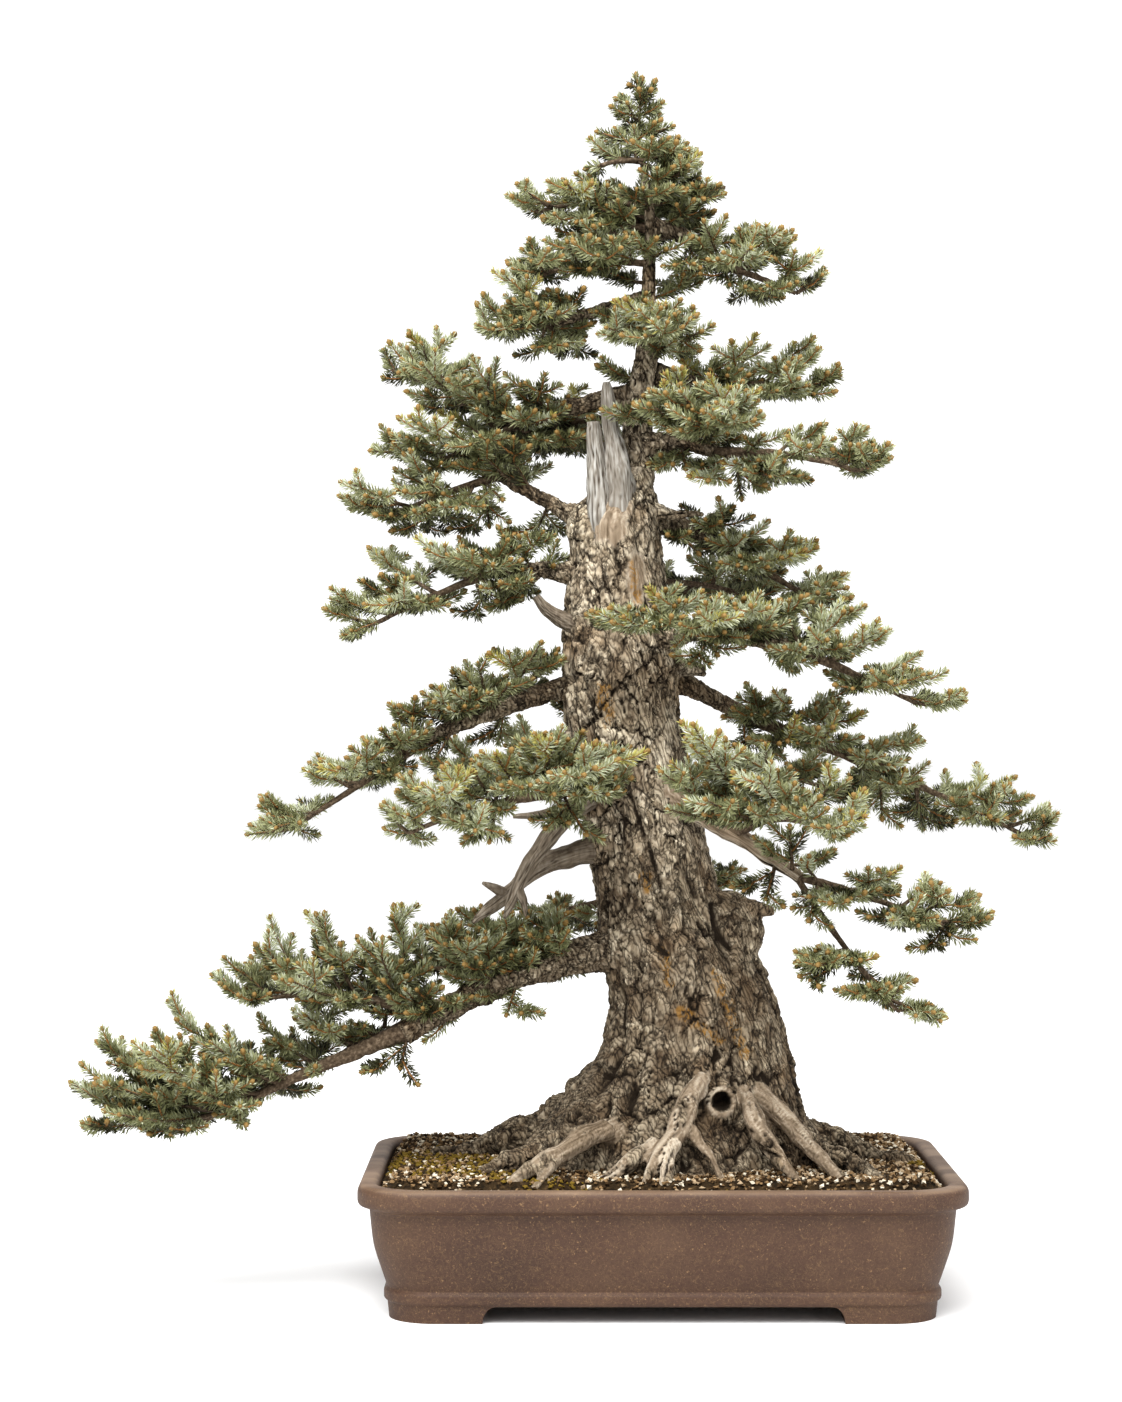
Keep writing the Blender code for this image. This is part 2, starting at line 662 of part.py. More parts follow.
def make_soil(parts):
    wall = [(inset + GAP, height) for inset, height in reversed(WALL_INSIDE)]
    wall[0] = (wall[0][0], FLOOR_TOP + GAP)
    wall[-1] = (wall[-1][0], SOIL_EDGE)
    wall.append((wall[-1][0] + SOIL_SLOPE, SOIL_TOP))
    rings = [lambda bm, place=place: rounded_ring(bm, *place) for place in wall]
    return add_object("soil", lofted("soil", rings), parts, "soil")


# Trunk, dead wood and boughs


def trunk_at(height):
    """The trunk's middle and half width at a height."""
    for low, high in zip(TRUNK, TRUNK[1:]):
        if height <= high[0]:
            t = (height - low[0]) / (high[0] - low[0])
            x, y, half = [a + (b - a) * t for a, b in zip(low[1:], high[1:])]
            return Vector((x, y, height)), half
    return Vector((TRUNK[-1][1], TRUNK[-1][2], TRUNK[-1][0])), TRUNK[-1][3]


def trunk_swell(angle, height):
    """The share by which the trunk's half width swells at an angle: lobes at its foot and lumps."""
    swell = FLARE_SWELL * max(0.0, 1 - height / FLARE_HEIGHT) * math.cos(FLARE_LOBES * angle + FLARE_TURN)
    for lobes, turn, size in LUMPS:
        swell += size * math.sin(lobes * angle + turn * height) * math.sin(angle) ** 2
    return swell


def furrow_at(index, height):
    """The angle of a furrow at a height, and the share of its full depth that it has there."""
    step = FURROW_STEP * index
    wander = FURROW_UNEVEN * math.sin(step) + FURROW_WANDER * math.sin(FURROW_WAVE * height + step)
    least, extra, wave = FURROW_FADE
    return 2 * math.pi * (index + wander) / RIDGES, least + extra * math.sin(wave * height + step)


def trunk_ring(bm, height, x, y, half):
    """A level ring of the trunk: each furrow's bottom, then the two shoulders of the next ridge."""
    full_depth = min(FURROW_DEPTH * half, DEEPEST_FURROW)
    corners = []
    for index in range(RIDGES):
        angle, share = furrow_at(index, height)
        after = furrow_at(index + 1, height)[0]
        if index == RIDGES - 1:
            after = furrow_at(0, height)[0] + 2 * math.pi
        shoulder = FURROW_SHOULDER * (after - angle)
        corners += [(angle, share * full_depth), (angle + shoulder, 0.0), (after - shoulder, 0.0)]
    ring = []
    for angle, depth in corners:
        radius = half * (1 + trunk_swell(angle, height)) - depth
        across = x + radius * math.cos(angle)
        away = y + radius * TRUNK_DEPTH_RATIO * math.sin(angle)
        ring.append(bm.verts.new((across, away, height)))
    return ring


def chain_tube(name, chain, collection):
    """A limb through stations of (x, y, z, radius)."""
    return tube(name, [station[:3] for station in chain], [station[3] for station in chain], collection)


def make_trunk(parts, helpers):
    ridged = [place for place in TRUNK if place[0] <= RIDGED_HEIGHT]
    rings = [lambda bm, place=place: trunk_ring(bm, *place) for place in ridged]
    trunk = add_object("trunk", lofted("trunk", rings), parts)
    grown = new_collection("grown on the trunk")
    foot, foot_half = trunk_at(LEADER_FOOT)
    top, top_half = trunk_at(RIDGED_HEIGHT)
    leader = [(*foot, 0.5 * foot_half), (*top, 0.85 * top_half)]
    leader += [(x, y, z, half) for z, x, y, half in TRUNK if z > RIDGED_HEIGHT]
    for index, chain in enumerate((leader, BURL_BEAK, *BARE_ROOTS, *BARK_ROOTS, *TRUNK_STUBS)):
        chain_tube(f"grown_{index}", chain, grown)
    bm = bmesh.new()
    bmesh.ops.create_icosphere(bm, subdivisions=2, radius=1)
    bmesh.ops.scale(bm, verts=bm.verts, vec=BURL_SIZE)
    bmesh.ops.translate(bm, verts=bm.verts, vec=BURL_MIDDLE)
    add_object("burl", mesh_from(bm, "burl"), grown)
    join(trunk, grown)
    bpy.data.collections.remove(grown)
    ground = box("ground", (1, 1, 0.2), (0, 0, SOIL_TOP + GAP - 0.1), helpers)
    cut(trunk, ground)
    remove(ground)
    keep_main_body(trunk)
    split_faces(trunk)
    trunk.data.materials.clear()
    trunk.data.materials.append(material("bark"))
    return trunk


def make_dead_wood(name, chains, trunk_clearance, parts):
    """Bare branches fused into one piece, whose foot is fitted to the trunk."""
    grown = new_collection("grown on " + name)
    made = []
    for index, chain in enumerate(chains):
        home = parts if index == 0 else grown
        points = [Vector(place[:3]) for place in chain]
        radii = [place[3] for place in chain]
        made.append(tube(name if index == 0 else f"fork_{index}", points, radii, home))
    if len(made) > 1:
        join(made[0], grown)
    bpy.data.collections.remove(grown)
    cut(made[0], trunk_clearance)
    keep_main_body(made[0])
    made[0].data.materials.clear()
    made[0].data.materials.append(material("dead wood"))
    return made[0]


def bough_points(bough):
    start, _ = trunk_at(bough.height)
    end = start + plan(bough.heading) * bough.reach + UP * bough.rise
    return bend(start, end, bough.arch, BOUGH_POINTS)


def make_bough(bough, trunk_clearance, parts):
    radii = tapered(bough.thick, bough.thin, BOUGH_POINTS)
    limb = tube(bough.name, bough_points(bough), radii, parts)
    cut(limb, trunk_clearance)
    keep_main_body(limb)
    limb.data.materials.clear()
    limb.data.materials.append(material("bark"))
    return limb


# Foliage


def needle_spray(base, tip, roll):
    """A spray of needles from base to tip: a blade with needle teeth, thickest near its root."""
    axis = tip - base
    length = axis.length
    axis.normalize()
    side = axis.cross(UP) if abs(axis.z) < 0.95 else axis.cross(Vector((1, 0, 0)))
    side.normalize()
    side = Matrix.Rotation(roll, 3, axis) @ side
    lift = axis.cross(side)
    tooth_angle = 2 * math.pi / SPRAY_SEGMENTS
    bm = bmesh.new()
    bmesh.ops.create_uvsphere(bm, u_segments=SPRAY_SEGMENTS, v_segments=2, radius=1)
    for vert in bm.verts:
        if abs(vert.co.z) > 0.5:
            out, across, thick = SPRAY_THICKEST, 0.0, math.copysign(SPRAY_THICKNESS / 2, vert.co.z)
        else:
            step = round(math.atan2(vert.co.y, vert.co.x) / tooth_angle)
            angle = step * tooth_angle
            reach = 1.0 if step % 2 == 0 else SPRAY_NOTCH
            out = 0.5 + 0.5 * reach * math.cos(angle) + TOOTH_LEAN * abs(math.sin(angle)) * reach
            across = 0.5 * reach * math.sin(angle)
            thick = 0.0
            if abs(step) == SPRAY_SEGMENTS // 2:
                out = -ROOT_DEPTH / length
        vert.co = base + axis * (out * length) + side * (across * SPRAY_WIDTH * length) + lift * thick
    bmesh.ops.recalc_face_normals(bm, faces=bm.faces)
    return bm


def twig(start, end, thick, thin):
    """A straight three-sided twig."""
    axis = end - start
    bm = bmesh.new()
    bmesh.ops.create_cone(
        bm, cap_ends=True, cap_tris=True, segments=3, radius1=thick, radius2=thin, depth=axis.length
    )
    turn = UP.rotation_difference(axis).to_matrix().to_4x4()
    bm.transform(Matrix.Translation((start + end) / 2) @ turn)
    return bm


def touches(bm, obstacles):
    """Whether a piece, swollen by the foliage gap, meets a limb or another mass."""
    bm.normal_update()
    points = [vert.co + vert.normal * FOLIAGE_GAP for vert in bm.verts]
    bm.verts.index_update()
    faces = [tuple(vert.index for vert in face.verts) for face in bm.faces]
    piece = BVHTree.FromPolygons(points, faces)
    return any(piece.overlap(tree) for tree in obstacles)


class Space:
    """The room of one mass: an ellipsoid, tilted in the picture plane."""

    def __init__(self, mass, root):
        self.middle = Vector(mass.middle)
        tilt = math.radians(mass.tilt)
        self.turn = Matrix.Rotation(-tilt, 3, "Y")
        self.half = Vector(mass.half)
        self.side = 1 if self.middle.x >= root.x else -1

    def place(self, x, y, z):
        """World point of a place in the unit ball, with +x pointing away from the mass's root."""
        local = Vector((self.side * x * self.half.x, y * self.half.y, z * self.half.z))
        return self.middle + self.turn @ local

    def share(self, point):
        """How far a point lies from the middle, where 1 is the edge of the space."""
        local = self.turn.transposed() @ (point - self.middle)
        return math.sqrt(sum((a / b) ** 2 for a, b in zip(local, self.half)))


def spiral_targets(count, rng):
    """Places spread evenly over the unit ball's surface, without its underside."""
    golden = math.pi * (3 - math.sqrt(5))
    start = rng.uniform(0, 2 * math.pi)
    for index in range(count):
        z = 1 - (1 - LOWEST_TWIG) * (index + 0.5) / count
        ring = math.sqrt(1 - z * z)
        angle = start + golden * index
        yield ring * math.cos(angle), ring * math.sin(angle), z


def nearest_share(points, target):
    """The share along a chain of points that lies nearest to the target."""
    shares = [step / NEAREST_STEPS for step in range(NEAREST_STEPS + 1)]
    return min(shares, key=lambda t: (along(points, t) - target).length)


def mass_root(mass):
    """The point where a mass's stem leaves its limb, and the stem's radius there."""
    if mass.limb == "trunk":
        return trunk_at(mass.along)[0], STEM_THICK
    bough = next(bough for bough in BOUGHS if bough.name == mass.limb)
    radius = bough.thick + (bough.thin - bough.thick) * mass.along
    return along(bough_points(bough), min(mass.along, FURTHEST_STEM)), STEM_SHARE * radius


def stem_of(mass):
    """The points of a mass's stem, from the middle of its limb into its own space."""
    root, _ = mass_root(mass)
    far = Space(mass, root).place(STEM_REACH, 0, 0)
    run = far - root
    return bend(root, far, STEM_ARCH * run.xy.length + STEM_SAG * run.z, STEM_POINTS)


def make_stem(mass, parts):
    _, thickness = mass_root(mass)
    radii = tapered(thickness, STEM_THIN, STEM_POINTS)
    return tube(mass.name, stem_of(mass), radii, parts, resolution=0)


def core_of(space, rng, size):
    """A lumpy pad inside the space of a dense mass."""
    bm = bmesh.new()
    bmesh.ops.create_uvsphere(bm, u_segments=CORE_SEGMENTS, v_segments=CORE_RINGS, radius=1)
    for vert in bm.verts:
        x, y, z = vert.co * size * rng.uniform(1 - CORE_LUMPS, 1 + CORE_LUMPS)
        vert.co = space.place(x, y, z if z > 0 else CORE_UNDERSIDE * z)
    bmesh.ops.recalc_face_normals(bm, faces=bm.faces)
    return bm


def grow_mass(mass, stem, own_limb, obstacles):
    """Twigs branch from the stem towards targets on the edge of the mass's space."""
    rng = random.Random(mass.name)
    stem_points = stem_of(mass)
    space = Space(mass, stem_points[0])
    stem_length = (stem_points[-1] - stem_points[0]).length
    pieces = new_collection("pieces of " + mass.name)
    core_size = 0.0
    if mass.twigs >= FEWEST_TWIGS_ROUND_A_CORE:
        for attempt in range(CORE_TRIES):
            size = CORE_SHARE * CORE_SHRINK**attempt
            core = core_of(space, rng, size)
            if not touches(core, obstacles):
                add_object("core", mesh_from(core, "core"), pieces)
                core_size = size
                break
            core.free()
    obstacles = obstacles + [own_limb]

    def keep(bm):
        if touches(bm, obstacles):
            bm.free()
            return False
        add_object("piece", mesh_from(bm, "piece"), pieces)
        return True

    def spray_towards(base, target, longest=SPRAY_LONGEST):
        heading = (target - base).normalized()
        if (target - base).length < SPRAY_SHORTEST:
            base = target - heading * SPRAY_SHORTEST
        length = min((target - base).length, longest)
        for _ in range(TRIES):
            tip = base + heading * length
            roll = math.pi / 2 + rng.uniform(-FLATTEST_ROLL, FLATTEST_ROLL)
            if space.share(tip) <= 1 and keep(needle_spray(base, tip, roll)):
                return
            length *= SHORTER_EACH_TRY

    spray_towards(stem_points[-1], space.place(TARGET_REACH, 0, 0))
    for index, (x, y, z) in enumerate(spiral_targets(mass.twigs, rng)):
        target = space.place(TARGET_REACH * x, TARGET_REACH * y, TARGET_REACH * z)
        share = nearest_share(stem_points, target)
        distance = (along(stem_points, share) - target).length
        joint = along(stem_points, max(FIRST_TWIG, share - TWIG_LEAN * distance / stem_length))
        reach = target - joint
        inner = core_size * SPRAY_ROOT_SHARE
        root = space.place(inner * x, inner * y, inner * z)
        if core_size and (target - root).length < LONGEST_FROM_CORE:
            spray_towards(root, target, LONGEST_FROM_CORE)
            continue
        if reach.length <= SPRAY_LONGEST:
            spray_towards(joint, target)
            continue
        elbow = target - reach.normalized() * SPRAY_LONGEST * ELBOW_SHARE
        if not keep(twig(joint, elbow, TWIG_THICK, TWIG_THIN)):
            continue
        spray_towards(elbow - reach.normalized() * TWIG_THIN, target)
        if core_size:
            continue
        side = -1 if index % 2 else 1
        level = reach.cross(UP).normalized()
        axis = (UP + level * rng.uniform(-SIDE_SPRAY_LIFT, SIDE_SPRAY_LIFT)).normalized()
        aside = Matrix.Rotation(side * SIDE_SPRAY_ANGLE, 3, axis) @ reach.normalized()
        base = joint.lerp(elbow, rng.uniform(*SIDE_SPRAY_PLACE))
        spray_towards(base, base + aside * SPRAY_LONGEST)
    join(stem, pieces)
    bpy.data.collections.remove(pieces)


def finish_mass(mass, body, clearances):
    """Cuts the stem's foot clear of its limb."""
    cut(body, clearances[mass.limb])
    keep_main_body(body)
    body.data.materials.clear()
    body.data.materials.append(material("needles"))


def centre_on_floor(parts):
    """Hangs all parts on one empty, and moves it so that their box stands centred on the origin."""
    low = Vector((1e9, 1e9, 1e9))
    high = -low
    for obj in parts.objects:
        for vert in obj.data.vertices:
            low = Vector(map(min, low, vert.co))
            high = Vector(map(max, high, vert.co))
    plant = bpy.data.objects.new("plant", None)
    bpy.context.scene.collection.objects.link(plant)
    plant.location = (-(low.x + high.x) / 2, -(low.y + high.y) / 2, -low.z)
    for obj in parts.objects:
        obj.parent = plant


def main():
    clear_scene()
    parts = new_collection("white spruce bonsai")
    helpers = new_collection("cutters", shown=False)
    pot = make_pot(parts, helpers)
    soil = make_soil(parts)
    trunk = make_trunk(parts, helpers)
    clearances = {"trunk": swollen(trunk, GAP, helpers)}
    limbs = [pot, soil, trunk]
    for name, chains in (
        ("dead_top", DEAD_TOP),
        ("dead_limb_upper", DEAD_LIMB_UPPER),
        ("dead_limb_lower", DEAD_LIMB_LOWER),
        ("dead_stub", DEAD_STUB),
    ):
        limbs.append(make_dead_wood(name, chains, clearances["trunk"], parts))
    for bough in BOUGHS:
        limb = make_bough(bough, clearances["trunk"], parts)
        clearances[bough.name] = swollen(limb, GAP, helpers)
        limbs.append(limb)
    limb_trees = {limb.name: tree_of(limb) for limb in limbs}
    # Every stem is laid out first, so that no twig of one mass grows through another's stem
    stems = {mass.name: make_stem(mass, parts) for mass in MASSES}
    mass_trees = {name: tree_of(stem) for name, stem in stems.items()}
    for mass in MASSES:
        others = {**limb_trees, **mass_trees}
        del others[mass.name]
        own_limb = others.pop(mass.limb)
        grow_mass(mass, stems[mass.name], own_limb, list(others.values()))
        finish_mass(mass, stems[mass.name], clearances)
        mass_trees[mass.name] = tree_of(stems[mass.name])
    for cutter in list(helpers.objects):
        remove(cutter)
    centre_on_floor(parts)


main()
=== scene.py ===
"""White spruce bonsai in a clay pot: the finish of every surface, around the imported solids.

Lengths are metres. The plant is laid out from the middle of its pot, as its solids are, and each
piece is moved to the frame's place when its mesh is made. The viewer stands at -Y, +Z is up.
"""

import math
import random
from collections import namedtuple

import bmesh
import bpy
import numpy as np
from mathutils import Matrix, Vector


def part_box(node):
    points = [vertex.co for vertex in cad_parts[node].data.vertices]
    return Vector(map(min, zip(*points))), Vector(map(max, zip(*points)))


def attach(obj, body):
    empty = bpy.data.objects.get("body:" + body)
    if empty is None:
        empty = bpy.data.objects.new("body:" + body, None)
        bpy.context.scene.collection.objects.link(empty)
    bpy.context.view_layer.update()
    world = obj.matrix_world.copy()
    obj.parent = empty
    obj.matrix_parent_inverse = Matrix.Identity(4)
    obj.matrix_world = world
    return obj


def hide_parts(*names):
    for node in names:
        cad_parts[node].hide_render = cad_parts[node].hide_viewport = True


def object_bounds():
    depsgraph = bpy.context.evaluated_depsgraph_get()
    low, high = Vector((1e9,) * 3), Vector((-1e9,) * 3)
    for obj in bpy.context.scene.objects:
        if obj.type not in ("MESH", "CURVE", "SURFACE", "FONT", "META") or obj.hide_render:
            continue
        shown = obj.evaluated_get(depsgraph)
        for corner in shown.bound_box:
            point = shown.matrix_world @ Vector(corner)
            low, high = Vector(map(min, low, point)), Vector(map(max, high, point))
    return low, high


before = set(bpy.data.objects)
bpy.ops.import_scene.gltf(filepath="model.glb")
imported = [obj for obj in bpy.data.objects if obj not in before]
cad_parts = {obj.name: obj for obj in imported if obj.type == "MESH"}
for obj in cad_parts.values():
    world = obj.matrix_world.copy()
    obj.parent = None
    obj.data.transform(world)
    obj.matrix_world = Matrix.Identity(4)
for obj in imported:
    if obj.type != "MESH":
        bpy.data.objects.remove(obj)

CAD_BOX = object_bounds()
UP = Vector((0, 0, 1))

# The pot's middle is the plant's own origin, and its feet stand a little below it
FOOT_PLANE = -0.0045
POT_LOW, POT_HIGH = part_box("pot")
ORIGIN = Vector((
    (POT_LOW.x + POT_HIGH.x) / 2,
    (POT_LOW.y + POT_HIGH.y) / 2,
    POT_LOW.z - FOOT_PLANE,
))


def metres(value, unit=10000):
    """Lengths of a table in tenths of a millimetre, or in other parts of a metre."""
    if isinstance(value, tuple):
        return tuple(metres(part, unit) for part in value)
    return value / unit


# Camera: level, as in the photo, whose frame is 1122 x 1402 pixels
CAMERA_PLACE = (-0.0834, -2.74, 0.5)
FOCAL_PIXELS = 3200.0
PHOTO_HEIGHT = 1402
SENSOR = 36.0
FLOOR_REACH = 30.0
LIT_PLACE = (-0.05, 0, 0.45)

# Pot
POT_LENGTH = POT_HIGH.x - POT_LOW.x
POT_DEPTH = POT_HIGH.y - POT_LOW.y
CORNER_RADIUS = 0.052
CORNER_TIGHTENS = 0.5
CORNER_POINTS = 15
WALL_INSET = 0.0175
FOOT_GAP_TOP = 0.0095
FOOT_GAP_HALF = (0.147, 0.097)
FOOT_GAP_CURVE = 0.011
# The pot's section as (inset from the rim, height, how far its edge is rounded)
POT_SECTION = (
    (0.0255, FOOT_PLANE, 0.0),
    (0.024, 0.0095, 0.0008),
    (0.0212, 0.0115, 0.002),
    (0.0212, 0.019, 0.002),
    (0.0238, 0.0212, 0.001),
    (0.0205, 0.031, 0.006),
    (0.0125, 0.056, 0.01),
    (0.0095, 0.086, 0.002),
    (0.0012, 0.0892, 0.0016),
    (0.0, 0.0925, 0.0016),
    (0.0, 0.1015, 0.003),
    (0.003, 0.106, 0.003),
    (0.014, 0.106, 0.003),
    (WALL_INSET, 0.1022, 0.002),
    (WALL_INSET, 0.08, 0.0),
)
EDGE_STEPS = 4
SHARP_FROM = 32
RIM_TOP_HEIGHTS = (0.1025, 0.1055)

# Soil
SOIL_EDGE = 0.0985
SOIL_TOP = 0.1095
SOIL_SLOPE = 0.016
GRAINS = 9000
GRAIN_RADIUS = (0.0012, 0.0027)
GRAIN_GAP = 0.002
MOSS_PATCH = 0.045
TRUNK_FOOTPRINT = (0.118, 0.1)

# Trunk: height, middle in X, middle in Y and half width, from below the soil to the leader's tip
TRUNK = metres((
    (950, 120, 0, 1380), (1250, 120, 0, 1240), (1450, 140, 0, 1090), (1680, 210, 0, 970),
    (1930, 290, 0, 850), (2200, 300, 0, 770), (2500, 280, 0, 710), (2800, 180, 10, 680),
    (3050, 80, 20, 600), (3300, 10, 30, 540), (3650, -70, 40, 530), (4150, -170, 50, 520),
    (5000, -320, 50, 500), (5500, -320, 50, 510), (5870, -360, 60, 450), (6200, -360, 70, 410),
    (6680, -360, 90, 360), (6800, -290, 100, 280), (6920, -180, 110, 170), (7060, -150, 120, 128),
    (7230, -175, 120, 137), (7580, -160, 120, 128), (8000, -95, 110, 105), (8430, -85, 100, 75),
    (9290, -80, 100, 48), (9680, -140, 100, 34), (9980, -190, 100, 22),
))
TRUNK_DEPTH_RATIO = 0.86
FLARE_HEIGHT = 0.3
FLARE_LOBES = 5
FLARE_SWELL = 0.1
FLARE_TURN = 1.0
# Above this height the leader is too thin for ridges
RIDGED_HEIGHT = 0.68
LEADER_FOOT = 0.64
# Slow lumps on the faces of the trunk as (lobes round it, turn per metre, swell)
LUMPS = ((2, 7.0, 0.06), (3, -21.0, 0.045), (5, 33.0, 0.025))
# Furrows between the long ridges of bark. Their wander and their shoulders are shares of a ridge.
RIDGES = 12
FURROW_STEP = 1.3
FURROW_UNEVEN = 0.2
FURROW_WANDER = 0.25
FURROW_WAVE = 26.0
FURROW_SHOULDER = 0.24
FURROW_DEPTH = 0.085
DEEPEST_FURROW = 0.0055
FURROW_FADE = (0.6, 0.4, 23.0)

# Roots, burl beak and broken stubs that belong to the trunk, each through (x, y, z, radius). The
# first roots are bare of bark, on the viewer's side, and all roots dip into the soil.
BARE_ROOTS = metres((
    ((360, -760, 1880, 70), (210, -930, 1640, 95), (100, -1060, 1460, 100), (-60, -1210, 1260, 68),
     (-160, -1380, 1040, 45)),
    ((100, -1060, 1460, 70), (30, -1250, 1260, 60), (-20, -1410, 1040, 45)),
    ((200, -980, 1520, 60), (340, -1160, 1300, 52), (480, -1310, 1040, 42)),
    ((710, -660, 1720, 60), (800, -900, 1480, 90), (970, -1120, 1280, 68), (1160, -1360, 1040, 45)),
    ((840, -540, 1700, 80), (1090, -770, 1430, 95), (1290, -1030, 1240, 70), (1460, -1300, 1040, 45)),
    ((-440, -840, 1460, 100), (-820, -1120, 1290, 90), (-1120, -1300, 1140, 60),
     (-1330, -1410, 1030, 42)),
    ((-800, -1100, 1280, 70), (-960, -1330, 1140, 52), (-1040, -1450, 1030, 40)),
    ((-40, -1040, 1340, 80), (-340, -1200, 1180, 62), (-620, -1310, 1030, 42)),
))
BARK_ROOTS = metres((
    ((-300, 0, 1800, 200), (-730, 60, 1460, 200), (-1280, 120, 1190, 145), (-1640, 180, 1110, 100),
     (-2000, 220, 1030, 55)),
    ((850, 80, 1500, 160), (1520, -40, 1220, 120), (2260, -340, 1030, 55)),
    ((950, -400, 1400, 120), (1340, -620, 1240, 105), (1840, -1200, 1030, 55)),
    ((900, 400, 1380, 140), (1400, 520, 1210, 110), (1980, 640, 1030, 55)),
    ((-500, -450, 1460, 160), (-1060, -680, 1210, 120), (-1600, -940, 1030, 55)),
    ((600, 700, 1440, 130), (1030, 1360, 1030, 55)),
    ((100, 800, 1440, 130), (0, 1420, 1030, 55)),
    ((-500, 500, 1440, 140), (-850, 780, 1210, 110), (-1190, 1100, 1030, 55)),
))
TRUNK_STUBS = metres((
    ((0, 0, 5320, 100), (260, -40, 5300, 75), (440, -60, 5250, 45)),
    ((0, 40, 4740, 75), (380, 0, 4680, 35)),
    ((-120, 40, 6640, 80), (360, -40, 6570, 30)),
    ((-200, 100, 2920, 70), (-680, 20, 2980, 30)),
))
# The swelling on the trunk's right, above the flare
BURL_MIDDLE = (0.062, 0.0, 0.304)
BURL_SIZE = (0.029, 0.03, 0.034)
BURL_ROUGHNESS = 0.22
BURL_BEAK = metres(((660, -60, 3200, 120), (880, -80, 3225, 66), (990, -90, 3195, 38)))
# The crease where the burl bulges over the trunk, sunk and painted dark as shade, by its distance in the
# burl's own sizes
CREASE_BELL = (1.2, 0.13)
CREASE_TOP = 0.33
CREASE_DEPTH = 0.0048
# The trunk's mesh: how much each softening moves it and how many there are, and the gap that
# twigs keep from it
TRUNK_SIDES = 72
TRUNK_VOXEL = 0.0019
TRUNK_SOFTENED = (0.5, 11)
TRUNK_CLEARANCE = 0.002
# Sizes of the bark's plates and depth of their relief, by the trunk's half width
PLATE_HALVES = (0.004, 0.015, 0.05, 0.1)
PLATE_SIZES = (0.006, 0.0095, 0.0175, 0.023)
BARK_DEPTHS = (0.0006, 0.0012, 0.0021, 0.0026)
ROOT_PLATE = 0.015
ROOT_SIDES = 20
PLATE_STRETCH = 1.35
WOOD_GRAIN = (0.0085, 0.0085, 0.007)
WOOD_DEPTH = 0.0018
BARK_SINKS = 0.0003
FLANK_SINKS = 0.0008
ROOT_WANDER = 0.009
KNOTHOLE = (0.049, 0.165)
KNOTHOLE_RADIUS = 0.0085
KNOTHOLE_DEPTH = 0.015
# The round swelling that carries the knothole, its rim of bare wood and the seam round that rim, which
# is sunk and painted a little dark as shade
KNOTHOLE_SWELL = 0.006
KNOTHOLE_REACH = 0.017
RIM_HEIGHT = 0.001
RIM_BELL = (0.72 * 0.015, 0.0022)
SEAM_BELL = (1.28 * 0.015, 0.0016)
RIM_EDGE = (0.0125, 0.0155)
MOUTH_EDGE = (0.8 * KNOTHOLE_RADIUS, 1.0 * KNOTHOLE_RADIUS)
PIT_EDGE = (0.7 * KNOTHOLE_RADIUS, 0.95 * KNOTHOLE_RADIUS)
FRONT_OF_FLARE = -0.03
FRONT_OF_TRUNK = 0.004
# Bare weathered flank below the dead top: its height, middle and half width at both ends
FLANK_TOP = (0.68, -0.04, 0.02)
FLANK_FOOT = (0.628, -0.044, 0.011)
HOLLOW_MIDDLE = (-0.02, 0.606)
HOLLOW_SIZE = (0.009, 0.024)
# Golden lichen in streaks on the viewer's side, each through (x, z) with a radius
LICHEN = (
    ((-0.024, 0.618), (-0.018, 0.58), 0.004),
    ((-0.048, 0.51), (-0.045, 0.48), 0.007),
    ((0.046, 0.27), (0.072, 0.205), 0.0055),
    ((0.018, 0.24), (0.048, 0.216), 0.006),
    ((0.002, 0.29), (0.008, 0.262), 0.0045),
    ((-0.014, 0.352), (-0.01, 0.34), 0.005),
)

# Bare silver wood: each piece is a set of chains of (x, y, z, radius)
DEAD_WOOD = {
    "dead_top": metres((
        ((-340, -100, 6000, 60), (-320, -130, 6550, 130), (-330, -110, 6800, 118),
         (-364, -90, 7060, 96), (-407, -60, 7316, 70), (-432, -50, 7570, 53), (-446, -50, 7725, 34)),
        ((-480, -100, 6100, 50), (-490, -120, 6550, 110), (-505, -100, 6800, 100),
         (-530, -70, 7060, 82), (-556, -60, 7300, 66), (-562, -60, 7385, 56)),
        ((-560, -40, 6500, 50), (-575, -40, 6900, 36), (-603, -30, 7230, 12)),
        ((-400, 40, 6400, 120), (-420, 30, 6900, 100), (-450, 10, 7220, 50)),
    )),
    "dead_limb_upper": metres((
        ((-500, -100, 4250, 100), (-760, -300, 4050, 85), (-990, -450, 3780, 70),
         (-1170, -550, 3500, 55), (-1240, -580, 3340, 40), (-1310, -600, 3180, 15)),
        ((-1200, -560, 3440, 36), (-1140, -620, 3300, 28), (-1130, -640, 3200, 12)),
        ((-700, -240, 4120, 50), (-1000, -280, 4040, 36), (-1240, -260, 4020, 15)),
    )),
    "dead_limb_lower": metres((
        ((-400, 0, 3750, 120), (-780, -140, 3680, 100), (-1060, -260, 3560, 80),
         (-1340, -360, 3320, 58), (-1500, -400, 3200, 40), (-1580, -420, 3130, 15)),
        ((-1300, -340, 3360, 42), (-1410, -440, 3430, 30), (-1490, -500, 3470, 12)),
    )),
    "dead_stub": metres((
        ((-500, -60, 5640, 110), (-700, -60, 5660, 95), (-850, -60, 5710, 68), (-980, -80, 5800, 50),
         (-1050, -100, 5890, 34)),
    )),
}

